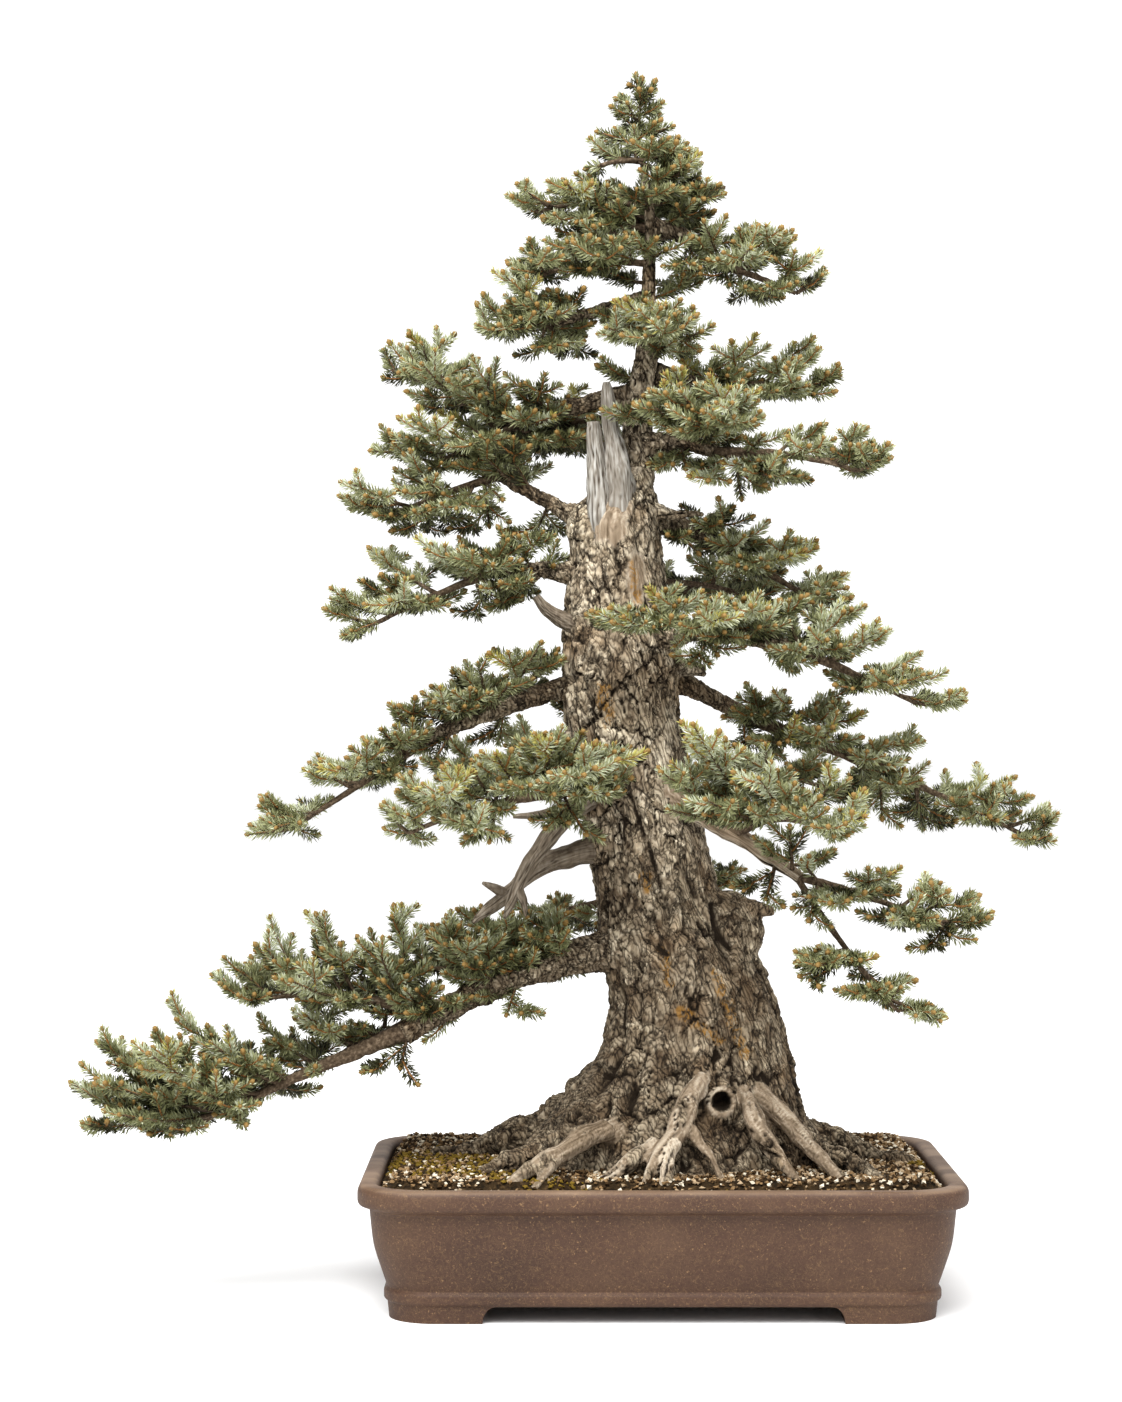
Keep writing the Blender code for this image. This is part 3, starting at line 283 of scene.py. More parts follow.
# Boughs: height where they leave the trunk, heading in plan (0 is right, 90 is away from the
# viewer), reach from the trunk's middle, rise, upward arch and the radius at each end
Bough = namedtuple("Bough", "name height heading reach rise arch thick thin")
BOUGHS = [
    Bough("bough_" + name, metres(height), heading, *map(metres, sizes))
    for name, height, heading, *sizes in (
        ("left_low", 2880, 190, 2350, -690, 210, 160, 95),
        ("left_middle", 5200, 188, 1720, -550, 80, 90, 55),
        ("front_left", 4240, 240, 1400, 0, 40, 90, 55),
        ("left_upper", 6040, 187, 1080, 60, 40, 80, 50),
        ("left_shoulder", 6400, 164, 1060, 560, 0, 75, 50),
        ("left_high", 7620, 160, 1300, -260, 60, 80, 50),
        ("left_top", 8430, 187, 820, -200, 20, 60, 45),
        ("right_top", 9050, -8, 560, -300, 100, 62, 50),
        ("right_high", 7830, 20, 620, -140, 20, 75, 55),
        ("right_upper", 7160, -32, 760, -60, 80, 85, 60),
        ("right_middle", 6580, 8, 950, -240, 60, 100, 65),
        ("right_front", 5480, -32, 1600, -20, 100, 90, 60),
        ("right_low", 5320, 6, 1180, -500, 60, 95, 65),
        ("front_right", 4360, -40, 1750, -820, 40, 120, 44),
        ("back_low", 3400, 78, 1500, -100, 120, 120, 70),
        ("back_middle", 4800, 105, 1500, -200, 120, 110, 65),
    )
]
BARE_BOUGHS = ("bough_front_right",)
BOUGH_COLLAR = 0.7
COLLAR_LENGTH = 0.014
BOUGH_STATIONS = 9
CHAIN_SPACING = 0.004
LEAST_RADIUS = 0.0005

# Foliage masses: the limb that carries each, how far along that limb its stem starts, the middle
# and half sizes of the space that it fills, its tilt in the picture plane and how light its needles
# are painted, partly their own yellower colour and partly painted light and shade
Mass = namedtuple("Mass", "name limb along middle half tilt light")
MASSES = [
    Mass("foliage_" + name, limb, along, metres(middle, 1000), metres(half, 1000), tilt, light)
    for name, limb, along, middle, half, tilt, light in (
        ("left_low_top", "bough_left_low", 0.66, (-152, 0, 292), (90, 65, 33), 12, 0.0),
        ("left_low_middle", "bough_left_low", 0.9, (-290, -20, 270), (88, 75, 53), 6, 0.0),
        ("left_low_end", "bough_left_low", 1.0, (-410, -60, 178), (92, 85, 60), 0, 0.0),
        ("left_low_under", "bough_left_low", 0.8, (-300, -10, 202), (82, 58, 45), 28, 0.0),
        ("left_middle_in", "bough_left_middle", 0.7, (-143, 0, 514), (62, 55, 28), 24, 0.0),
        ("left_middle_end", "bough_left_middle", 1.0, (-268, -30, 431), (90, 75, 32), 31, 0.1),
        ("front_left_in", "bough_front_left", 0.8, (-83, -165, 442), (70, 56, 40), 0, 0.6),
        ("front_left_end", "bough_front_left", 1.0, (-174, -160, 409), (52, 60, 44), 0, 0.5),
        ("left_upper", "bough_left_upper", 1.0, (-184, -10, 596), (100, 68, 45), 13, 0.0),
        ("left_shoulder", "bough_left_shoulder", 1.0, (-192, 30, 667), (66, 58, 36), -6, 0.0),
        ("left_high_end", "bough_left_high", 1.0, (-190, 70, 783), (54, 60, 34), -22, 0.0),
        ("left_high_low", "bough_left_high", 0.8, (-138, 45, 728), (90, 55, 38), 8, 0.0),
        ("left_top", "bough_left_top", 1.0, (-110, 0, 822), (46, 48, 40), -14, 0.1),
        ("crown_left_upper", "trunk", 0.925, (-76, 4, 918), (42, 42, 31), -26, 0.0),
        ("crown_left_lower", "trunk", 0.876, (-71, -18, 877), (54, 50, 27), 10, 0.0),
        ("crown_cone", "trunk", 0.964, (-18, -16, 966), (51, 42, 28), 0, 0.1),
        ("crown_right", "trunk", 0.934, (31, 10, 946), (38, 44, 40), 20, 0.0),
        ("crown_back", "trunk", 0.905, (-14, 70, 925), (50, 44, 40), 0, 0.0),
        ("right_top", "bough_right_top", 1.0, (86, 0, 869), (55, 58, 44), -8, 0.0),
        ("front_top", "trunk", 0.815, (-5, -50, 812), (47, 38, 25), 0, 0.4),
        ("right_high", "bough_right_high", 1.0, (90, 35, 774), (68, 65, 34), 8, 0.0),
        ("right_upper_in", "bough_right_upper", 0.55, (30, -85, 741), (52, 48, 25), -8, 0.3),
        ("right_upper_end", "bough_right_upper", 1.0, (120, -40, 700), (75, 66, 35), 8, 0.1),
        ("right_middle", "bough_right_middle", 1.0, (101, 15, 614), (68, 66, 34), -24, 0.5),
        ("right_front_in", "bough_right_front", 0.62, (26, -125, 568), (76, 50, 25), 0, 0.5),
        ("right_front_end", "bough_right_front", 1.0, (163, -75, 533), (93, 75, 37), -23, 0.2),
        ("right_low_in", "bough_right_low", 0.74, (132, -36, 471), (78, 54, 38), -18, 0.2),
        ("right_low_end", "bough_right_low", 1.0, (262, 20, 405), (88, 78, 41), -6, 0.0),
        ("front_right_pad", "bough_front_right", 0.62, (68, -185, 425), (90, 56, 46), -10, 0.6),
        ("front_right_end", "bough_front_right", 1.0, (186, -125, 331), (80, 75, 35), -6, -0.1),
        ("front_right_hang", "bough_front_right", 0.97, (157, -160, 273), (58, 40, 26), -22, -0.3),
        ("back_low", "bough_back_low", 1.0, (-75, 200, 290), (140, 72, 30), 0, -0.2),
        ("back_middle", "bough_back_middle", 1.0, (-110, 190, 442), (98, 70, 36), 0, -0.2),
        ("back_right", "bough_back_middle", 0.8, (125, 160, 425), (82, 62, 34), 0, -0.2),
        ("back_upper", "trunk", 0.6, (60, 140, 596), (85, 62, 34), 0, -0.2),
        ("back_high", "trunk", 0.745, (-95, 115, 738), (62, 60, 34), 0, -0.1),
    )
]
# Stems run from the limb into the space, and twigs leave them towards targets on its edge
STEM_THICK = 0.0034
STEM_SHARE = 0.62
STEM_THIN = 0.0018
STEM_REACH = 0.62
STEM_LOW = -0.35
STEM_ARCH = 0.06
STEM_SAG = 0.1
FURTHEST_STEM = 0.985
FIRST_TWIG = 0.14
TWIG_LEAN = 0.45
LOWEST_TWIG = -0.62
TARGET_REACH = (0.72, 0.96)
TUFT_SHARE = 0.24
TUFT_REACH = 1.24
TWIGS_PER_AREA = 900
LEAST_TWIGS = 12
TWIG_THICK = 0.0021
TWIG_THIN = 0.001
TWIG_LUMP = 0.004
SIX_SIDED_FROM = 0.0025
TIP_LIFT = 0.13
NEEDLED_SHARE = 0.72
# Side shoots along a twig, and shorter ones along those
SIDE_SPACING = 0.015
SIDE_LONGEST = 0.042
SIDE_SHORTEST = 0.013
SIDE_ANGLE = 48
FORK_FROM = 0.027
FORK_SHARE = 0.52
EDGE_SHARE = 1.03
LONGEST_SHOOT = 0.034
# Stems that end elsewhere than low in their mass
STEM_ENDS = {"foliage_left_low_end": (-0.402, -0.055, 0.138)}
# Sprigs outside the masses: along the outer part of the boughs and round the leader
SPRIG_FROM = {"bough_left_low": 0.34, "bough_front_right": 0.8, "bough_right_low": 0.8}
MOST_SPRIGS_FROM = 0.52
SPRIG_SPACING = 0.0095
SPRIG_LENGTH = (0.026, 0.048)
LEADER_FIRST = 0.705
LEADER_FOLIAGE = 0.888
LEADER_REACH = 0.034
LEADER_SPACING = (0.018, 0.006)
CONE_FOOT = 0.945
CONE_TIP = 1.045
CONE_SLOPE = 0.6
CONE_LEAST = 0.005
CROWN_TIP = (-0.0135, 0.01, 1.039)
CONE_WIDEST = 0.06
# Needles and buds
NEEDLE_SPACING = 0.00031
NEEDLE_LENGTH = 0.0102
NEEDLE_HALF_WIDTH = 0.00072
MOST_NEEDLES = 80000
NEEDLE_FOLD = 0.00045
NEEDLE_WIDEST = 0.6
NEEDLE_LEAN = (58, 36)
LEAN_VARIES = 6
NEEDLE_STRAYS = 0.25
NEEDLE_VARIES = (0.78, 1.12)
NEEDLE_SHORTENS = 0.28
NEEDLE_RISE = 0.14
SHOOT_RADIUS = 0.0011
NEEDLE_ROOM = 0.007
TIP_ROOM = 0.001
BUD_LENGTH = 0.006
BUD_RADIUS = 0.0025
GOLDEN_ANGLE = math.pi * (3 - math.sqrt(5))

# Plain colours, as linear base colours
# Needle tints, from the painted shade inside and under the masses to the lit tops and the young growth
NEEDLE_TINTS = {
    "needles_shade": (0.036, 0.036, 0.012),
    "needles_blue": (0.16, 0.167, 0.074),
    "needles_grey": (0.3, 0.312, 0.17),
    "needles_light": (0.455, 0.48, 0.345),
    "needles_young": (0.37, 0.34, 0.105),
}
GRAIN_TINTS = {
    "grains_brown": (0.044, 0.025, 0.01),
    "grains_tan": (0.205, 0.132, 0.066),
    "grains_beige": (0.34, 0.256, 0.165),
    "grains_pale": (0.6, 0.54, 0.43),
    "grains_moss": (0.15, 0.1, 0.016),
}
GRAIN_SHARES = (0.34, 0.32, 0.22, 0.12)


# Meshes from arrays


def linked(name, data):
    """A new object with this data, in the scene."""
    obj = bpy.data.objects.new(name, data)
    bpy.context.scene.collection.objects.link(obj)
    return obj


def new_object(name, points, faces, finish, smooth=False, marks=None):
    """A mesh object from arrays. Marks hold a number for each point, which its material reads."""
    points = np.asarray(points).reshape(-1, 3) + np.array(ORIGIN)
    groups = faces if isinstance(faces, list) else [faces]
    corners = np.concatenate([group.ravel() for group in groups]).astype(np.int32)
    sizes = np.concatenate([np.full(len(group), group.shape[1]) for group in groups])
    mesh = bpy.data.meshes.new(name)
    mesh.vertices.add(len(points))
    mesh.vertices.foreach_set("co", points.astype(np.float32).ravel())
    mesh.loops.add(len(corners))
    mesh.loops.foreach_set("vertex_index", corners)
    mesh.polygons.add(len(sizes))
    mesh.polygons.foreach_set("loop_start", (np.cumsum(sizes) - sizes).astype(np.int32))
    mesh.polygons.foreach_set("use_smooth", np.full(len(sizes), smooth))
    for mark, values in (marks or {}).items():
        mark_points(mesh, mark, values)
    mesh.update(calc_edges=True)
    mesh.materials.append(finish)
    return linked(name, mesh)


def mark_points(mesh, mark, values):
    layer = mesh.attributes.new(mark, "FLOAT", "POINT")
    layer.data.foreach_set("value", np.asarray(values, np.float32))


def read_points(mesh, field):
    found = np.empty(len(mesh.vertices) * 3, np.float32)
    mesh.vertices.foreach_get(field, found)
    return found.reshape(-1, 3)


def repeated(faces, count):
    """The faces of one small shape, once more for each of its copies."""
    faces = np.array(faces)
    return (np.arange(count)[:, None, None] * (faces.max() + 1) + faces).reshape(-1, faces.shape[1])


def quads_between(rings, sides):
    """Quads between closed rings of points that follow each other."""
    ring, side = np.meshgrid(np.arange(rings - 1), np.arange(sides), indexing="ij")
    here, after = ring * sides + side, ring * sides + (side + 1) % sides
    return np.stack([here, after, after + sides, here + sides], axis=-1).reshape(-1, 4)


def tube_faces(rings, sides):
    """A tube's quads, and a fan over each end round its last two points, the tip and the foot."""
    first = np.arange(sides)
    last = (rings - 1) * sides + first
    tip = np.full(sides, rings * sides)
    top = np.stack([last, np.roll(last, -1), tip], axis=1)
    bottom = np.stack([np.roll(first, -1), first, tip + 1], axis=1)
    return [quads_between(rings, sides), np.concatenate([top, bottom])]


class Pile:
    """Points, faces and marks of many shapes, gathered for one joined mesh."""

    def __init__(self):
        self.points = []
        self.faces = {3: [], 4: []}
        self.marks = {}
        self.count = 0

    def add(self, points, groups, **marks):
        self.points.append(points)
        for group in groups:
            self.faces[group.shape[1]].append(group + self.count)
        for mark, values in marks.items():
            self.marks.setdefault(mark, []).append(values)
        self.count += len(points)

    def add_tube(self, surface, line, **marks):
        """Adds the rings round a line of points, closed at the line's two ends."""
        marks = {name: np.concatenate([mark, mark[-1:], mark[:1]]) for name, mark in marks.items()}
        faces = tube_faces(len(line), len(surface) // len(line))
        self.add(np.concatenate([surface, line[-1:], line[:1]]), faces, **marks)

    def made(self, name, finish, smooth=True):
        groups = [np.concatenate(found) for found in self.faces.values() if found]
        marks = {mark: np.concatenate(values) for mark, values in self.marks.items()}
        return new_object(name, np.concatenate(self.points), groups, finish, smooth, marks)


def place_piece(obj, nodes=()):
    """Rides a piece on the plant's one body, and hides the solids it stands for."""
    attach(obj, "root")
    if nodes:
        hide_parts(*nodes)
    return obj


# Repeatable noise on arrays of places


def hashed(cells, salt):
    """A number from 0 to 1 for each cell of whole numbers."""
    x, y, z = (cells[..., axis].astype(np.int64) for axis in range(3))
    value = (x * 374761393 + y * 668265263 + z * 1274126177 + salt * 974634777) & 0xFFFFFFFF
    value = ((value ^ (value >> 13)) * 1274126177) & 0xFFFFFFFF
    return ((value ^ (value >> 16)) & 0xFFFFFF) / 0xFFFFFF


def smooth_noise(places, salt):
    """Noise from 0 to 1 that changes over a distance of about 1."""
    low = np.floor(places)
    part = places - low
    part = part * part * (3 - 2 * part)
    total = np.zeros(len(places))
    for corner in range(8):
        step = np.array([corner & 1, corner >> 1 & 1, corner >> 2 & 1])
        weight = np.prod(np.where(step, part, 1 - part), axis=1)
        total += weight * hashed(low + step, salt)
    return total


def layered_noise(places, salt, layers=3):
    total = np.zeros(len(places))
    for layer in range(layers):
        total += smooth_noise(places * 2**layer, salt + layer) / 2**layer
    return total / (2 - 2 ** (1 - layers))


def cells(places, salt):
    """For each place the gap between its nearest two cell middles, its cell's number and offset."""
    low = np.floor(places)
    first = np.full(len(places), 9.0)
    second = first.copy()
    number = np.zeros(len(places))
    offset = np.zeros_like(places)
    for index in range(27):
        step = np.array([index % 3, index // 3 % 3, index // 9]) - 1
        cell = low + step
        jitter = np.stack([hashed(cell, salt + axis) for axis in range(3)], axis=1)
        away = places - cell - jitter
        distance = np.linalg.norm(away, axis=1)
        nearer = distance < first
        second = np.where(nearer, first, np.minimum(second, distance))
        number = np.where(nearer, hashed(cell, salt + 7), number)
        offset[nearer] = away[nearer]
        first = np.where(nearer, distance, first)
    return second - first, number, offset


def ramp(values, low, high):
    """0 below low, 1 above high and a smooth rise between them."""
    part = np.clip((values - low) / (high - low), 0, 1)
    return part * part * (3 - 2 * part)


def fall(values, low, high):
    """1 below low, 0 above high and a smooth fall between them."""
    return 1 - ramp(values, low, high)


def bell(values, middle, width, power=2):
    """1 at the middle, and near 0 at a few widths from it."""
    return np.exp(-(((values - middle) / width) ** power))


# Limbs


def resampled(chain, spacing):
    """A smooth chain of points and radii through the stations, at about the given spacing."""
    stations = np.array(chain, float)
    steps = np.linalg.norm(np.diff(stations[:, :3], axis=0), axis=1)
    length = np.concatenate([[0], np.cumsum(steps)])
    wanted = np.linspace(0, length[-1], max(4, int(length[-1] / spacing) + 1))
    slopes = np.gradient(stations, length, axis=0)
    index = np.clip(np.searchsorted(length, wanted, side="right") - 1, 0, len(length) - 2)
    run = (length[index + 1] - length[index])[:, None]
    part = ((wanted - length[index])[:, None]) / run
    cube, square = part**3, part**2
    found = (
        (2 * cube - 3 * square + 1) * stations[index]
        + (cube - 2 * square + part) * (slopes[index] * run)
        + (3 * square - 2 * cube) * stations[index + 1]
        + (cube - square) * (slopes[index + 1] * run)
    )
    return found[:, :3], np.maximum(found[:, 3], LEAST_RADIUS), wanted


def frames_along(points):
    """Two directions across a chain of points that turn as little as they can."""
    tangents = np.gradient(points, axis=0)
    tangents /= np.linalg.norm(tangents, axis=1, keepdims=True)
    side = np.cross(tangents[0], (0, 0, 1) if abs(tangents[0][2]) < 0.9 else (1, 0, 0))
    across = []
    for tangent in tangents:
        side = side - tangent * side.dot(tangent)
        side /= np.linalg.norm(side)
        across.append(side)
    across = np.array(across)
    return across, np.cross(tangents, across), tangents


def tube_surface(points, radii, sides):
    """Rings of points round a chain, the outward directions and the angle of each point."""
    side, lift, _ = frames_along(points)
    angle = np.linspace(0, 2 * math.pi, sides, endpoint=False)
    out = side[:, None] * np.cos(angle)[None, :, None] + lift[:, None] * np.sin(angle)[None, :, None]
    surface = points[:, None] + out * radii[:, None, None]
    return surface.reshape(-1, 3), out.reshape(-1, 3), np.tile(angle, len(points))


def bark_relief(places):
    """Height, crack depth painted dark as shade in the cracks and low spots, and plate shade with a
    painted highlight on each flake's lower edge, of bark at places counted in plate widths.
    """
    warp = np.stack([layered_noise(places * 1.7, salt, 3) for salt in (11, 21, 31)], axis=1) - 0.5
    edge, shade, lean = cells(places + 0.55 * warp, 41)
    flake, chip, tilt = cells(places * (2.3, 2.3, 1.6) + 1.6 * warp, 61)
    strength = ramp(layered_noise(places * 0.8, 51, 2), 0.3, 0.62)
    crack = fall(edge, 0.01, 0.075) * (0.16 + 0.84 * strength)
    nick = fall(flake, 0.01, 0.15)
    crumb = layered_noise(places * 7.0 + 2.0 * warp, 55, 2)
    height = (
        0.75 * (shade - 0.5)
        - 0.55 * lean[:, 2]
        + 0.32 * (chip - 0.5)
        - 0.34 * tilt[:, 2]
        - 1.5 * crack
        - 0.28 * nick
        + 1.1 * (crumb - 0.5)
    )
    # Cracks, nicks and low spots, painted dark as shade
    hollow = np.clip(0.9 * crack + 0.2 * nick + 0.4 * ramp(crumb, 0.4, 0.2), 0, 1)
    # Each flake's lower edge, which stands out, is painted lighter as a highlight. The rest of the tone
    # differs from plate to plate.
    tone = 0.26 + 0.16 * shade + 0.12 * chip + 0.24 * ramp(-tilt[:, 2], -0.5, 0.6)
    return height, hollow, tone


def wood_relief(places):
    """Height, groove depth, which is also painted dark as shade in the grooves, and shade of bare wood,
    whose grain runs along the third axis.
    """
    broad = layered_noise(places * (0.55, 0.55, 0.05), 71, 2)
    grain = layered_noise(places * (2.2, 2.2, 0.07), 75, 2)
    fine = layered_noise(places * (8.0, 8.0, 0.2), 81, 2)
    groove = ramp(np.abs(grain - 0.5), 0.085, 0.0) * ramp(broad, 0.42, 0.6)
    height = 2.6 * (broad - 0.5) + 1.2 * (grain - 0.5) + 0.2 * (fine - 0.5) - 0.9 * groove
    return height, groove, 0.45 * broad + 0.55 * fine


def blended(first, second, share):
    """Each of the first values, drawn towards the second by the share."""
    return [a * (1 - share) + b * share for a, b in zip(first, second)]


def limb(pile, chain, spacing, plate_size, amount, bare, collar, knots, salt):
    """Adds one limb with its relief to a pile."""
    points, radii, along = resampled(chain, spacing)
    radii = radii * (1 + collar * np.exp(-along / COLLAR_LENGTH))
    sides = max(10, int(2 * math.pi * radii.max() / spacing))
    surface, out, angle = tube_surface(points, radii, sides)
    radius = np.repeat(radii, sides)
    around = (radius / plate_size)[:, None] * np.stack([np.cos(angle), np.sin(angle)], axis=1)
    far = np.repeat(along, sides) / (PLATE_STRETCH * plate_size)
    places = np.column_stack([around, far]) + salt * 7.3
    height, hollow, shade = blended(bark_relief(places), wood_relief(places), bare)
    swell = knots * radius * (layered_noise(places * 0.5, 91 + salt, 2) - 0.5)
    surface = surface + out * (height * amount * np.minimum(1, radius / 0.006) + swell)[:, None]
    pile.add_tube(surface, points, hollow=hollow, shade=shade, bare=np.full(len(surface), bare))


def trunk_at(height):
    """The trunk's middle and half width at a height."""
    for low, high in zip(TRUNK, TRUNK[1:]):
        if height <= high[0]:
            t = (height - low[0]) / (high[0] - low[0])
            x, y, half = [a + (b - a) * t for a, b in zip(low[1:], high[1:])]
            return Vector((x, y, height)), half
    return Vector((TRUNK[-1][1], TRUNK[-1][2], TRUNK[-1][0])), TRUNK[-1][3]


def plan(heading):
    """The level direction of a heading in degrees."""
    angle = math.radians(heading)
    return Vector((math.cos(angle), math.sin(angle), 0))


def curve_at(curve, t):
    start, middle, end = curve
    return start * (1 - t) ** 2 + middle * (2 * t * (1 - t)) + end * t**2


def bend(start, end, arch, count):
    """Points from start to end along a curve that rises by the arch in its middle."""
    curve = (start, (start + end) / 2 + UP * (2 * arch), end)
    return [curve_at(curve, step / (count - 1)) for step in range(count)]


def along_chain(points, t):
    """The point at the share t of a chain of points."""
    place = min(max(t, 0.0), 1.0) * (len(points) - 1)
    index = min(int(place), len(points) - 2)
    return points[index].lerp(points[index + 1], place - index)


# Trunk


def trunk_swell(angle, height):
    """The share by which the trunk's half width swells at an angle: lobes at its foot and lumps."""
    swell = FLARE_SWELL * np.maximum(0, 1 - height / FLARE_HEIGHT)
    swell = swell * np.cos(FLARE_LOBES * angle + FLARE_TURN)
    for lobes, turn, size in LUMPS:
        swell = swell + size * np.sin(lobes * angle + turn * height) * np.sin(angle) ** 2
    return swell


def furrows(angle, height, half):
    """Depth of the long furrows, from 0 on the ridges, and the depth itself in metres."""
    least, extra, wave = FURROW_FADE
    full_depth = np.minimum(FURROW_DEPTH * half, DEEPEST_FURROW)
    found = np.zeros(len(angle))
    for index in range(RIDGES):
        step = FURROW_STEP * index
        wander = FURROW_UNEVEN * np.sin(step) + FURROW_WANDER * np.sin(FURROW_WAVE * height + step)
        middle = 2 * math.pi * (index + wander) / RIDGES
        away = np.abs((angle - middle + math.pi) % (2 * math.pi) - math.pi) * half
        share = least + extra * np.sin(wave * height + step)
        width = FURROW_SHOULDER * 2 * math.pi / RIDGES * half
        found = np.maximum(found, share * fall(away, 0.06 * width, 0.85 * width))
    return found, found * full_depth


def wandering(points, radii, along, salt):
    """A root whose course and thickness wander a little, fixed at its upper end."""
    places = np.column_stack([along / 0.022, np.full(len(along), 3.7 * salt), np.zeros(len(along))])
    shift = np.stack([smooth_noise(places, salt + turn) for turn in (1, 2, 3)], axis=1) - 0.5
    easing = np.minimum(1, along / 0.02)[:, None]
    radii = radii * (0.82 + 0.4 * smooth_noise(places * 1.7, salt + 4))
    return points + ROOT_WANDER * easing * shift, radii


def trunk_body():
    """One closed mesh of trunk, roots, burl and stubs, remeshed into even faces."""
    pile = Pile()
    ridged = [(x, y, z, half) for z, x, y, half in TRUNK if z <= RIDGED_HEIGHT]
    points, radii, _ = resampled(ridged, 0.006)
    angle = np.linspace(0, 2 * math.pi, TRUNK_SIDES, endpoint=False)
    wide = radii[:, None] * (1 + trunk_swell(angle[None], points[:, 2:]))
    surface = np.stack([
        points[:, :1] + wide * np.cos(angle),
        points[:, 1:2] + wide * TRUNK_DEPTH_RATIO * np.sin(angle),
        np.repeat(points[:, 2:], TRUNK_SIDES, axis=1),
    ], axis=-1)
    pile.add_tube(surface.reshape(-1, 3), points)
    foot, foot_half = trunk_at(LEADER_FOOT)
    top, top_half = trunk_at(RIDGED_HEIGHT)
    leader = [(*foot, 0.5 * foot_half), (*top, 0.85 * top_half)]
    leader += [(x, y, z, half) for z, x, y, half in TRUNK if z > RIDGED_HEIGHT]
    for number, chain in enumerate((leader, BURL_BEAK, *BARE_ROOTS, *BARK_ROOTS, *TRUNK_STUBS)):
        points, radii, along = resampled(chain, CHAIN_SPACING)
        if number > 1:
            points, radii = wandering(points, radii, along, number)
        pile.add_tube(tube_surface(points, radii, ROOT_SIDES)[0], points)
    bm = bmesh.new()
    bmesh.ops.create_icosphere(bm, subdivisions=4, radius=1)
    ball = np.array([vert.co for vert in bm.verts])
    faces = np.array([[vert.index for vert in face.verts] for face in bm.faces])
    bm.free()
    lumps = 1 + BURL_ROUGHNESS * (layered_noise(ball * 2.2 + 3, 9, 2) - 0.5)[:, None]
    pile.add(ball * lumps * BURL_SIZE + BURL_MIDDLE, [faces])
    rough = pile.made("trunk_rough", None)
    remesh = rough.modifiers.new("even", "REMESH")
    remesh.mode = "VOXEL"
    remesh.voxel_size = TRUNK_VOXEL
    soften = rough.modifiers.new("soften", "SMOOTH")
    soften.factor, soften.iterations = TRUNK_SOFTENED
    bpy.context.view_layer.update()
    mesh = rough.evaluated_get(bpy.context.evaluated_depsgraph_get()).to_mesh()
    points, normals = (read_points(mesh, field) for field in ("co", "normal"))
    corners = np.empty(len(mesh.polygons) * 4, np.int32)
    mesh.loops.foreach_get("vertex_index", corners)
    data = rough.data
    bpy.data.objects.remove(rough)
    bpy.data.meshes.remove(data)
    return (points - np.array(ORIGIN)).astype(float), normals.astype(float), corners.reshape(-1, 4)


def along_chains(points, chains):
    """For each point the distance to the nearest chain in that chain's radii, and its place on
    that chain: round it in two directions and along it, in metres."""
    nearest = np.full(len(points), 99.0)
    places = np.zeros((len(points), 3))
    for number, chain in enumerate(chains):
        stations, radii, run = resampled(chain, CHAIN_SPACING)
        frame_sides = frames_along(stations)
        low, high = stations.min(axis=0) - 0.03, stations.max(axis=0) + 0.03
        close = np.flatnonzero(np.all((points > low) & (points < high), axis=1))
        if not len(close):
            continue
        away = points[close][:, None] - stations[None]
        share = np.linalg.norm(away, axis=2) / radii[None]
        index = share.argmin(axis=1)
        row = np.arange(len(close))
        out = away[row, index]
        found = np.column_stack([np.sum(out * side[index], axis=1) for side in frame_sides])
        found[:, 2] = run[index] + found[:, 2] + 0.5 * number
        better = share[row, index] < nearest[close]
        nearest[close[better]] = share[row, index][better]
        places[close[better]] = found[better]
    return nearest, places


def bark_on_trunk(points, dx, dy, half):
    """Relief of the bark, whose plates follow the trunk and its roots, and how far those roots are."""
    height, _, _, halves = np.array(TRUNK).T
    turn = np.column_stack([dx, dy]) / np.maximum(np.hypot(dx, dy), 1e-6)[:, None]
    # Heights are counted in plates, so that the pattern keeps its shape as the plates shrink
    sizes = np.interp(halves, PLATE_HALVES, PLATE_SIZES)
    counted = np.concatenate([[0], np.cumsum(np.diff(height) / sizes[1:])])
    level = np.interp(points[:, 2], height, counted) / PLATE_STRETCH
    reach = half / np.interp(half, PLATE_HALVES, PLATE_SIZES)
    relief = bark_relief(np.column_stack([turn * reach[:, None], level]))
    root_share, root_places = along_chains(points, BARK_ROOTS)
    on_root = fall(root_share, 1.0, 1.6)
    return *blended(relief, bark_relief(root_places / ROOT_PLATE), on_root), root_share


def open_wood_on_trunk(x, z, ragged):
    """Share of bare wood: a flank that narrows downwards from the dead top, and a pocket."""
    foot, top = FLANK_FOOT[0], FLANK_TOP[0]
    share = np.clip((z - foot) / (top - foot), 0, 1.2)
    middle, width = (low + (high - low) * share for low, high in zip(FLANK_FOOT[1:], FLANK_TOP[1:]))
    flank = fall(np.abs(x - middle) / width + 0.9 * ragged, 0.8, 1.05)
    flank *= (z < 0.7) * ramp(z + 0.03 * ragged, foot - 0.004, foot + 0.01)
    pocket = np.hypot((x - HOLLOW_MIDDLE[0]) / HOLLOW_SIZE[0], (z - HOLLOW_MIDDLE[1]) / HOLLOW_SIZE[1])
    return np.maximum(flank, fall(pocket + 0.8 * ragged, 0.7, 1.1))


def lichen_streaks(x, z, ragged):
    streak = np.zeros(len(x))
    for (x0, z0), (x1, z1), wide in LICHEN:
        run = np.array([x1 - x0, z1 - z0])
        t = np.clip(((x - x0) * run[0] + (z - z0) * run[1]) / run.dot(run), 0, 1)
        away = np.hypot(x - x0 - t * run[0], z - z0 - t * run[1])
        streak = np.maximum(streak, fall(away / wide + 1.6 * ragged, 0.5, 1.0))
    return streak


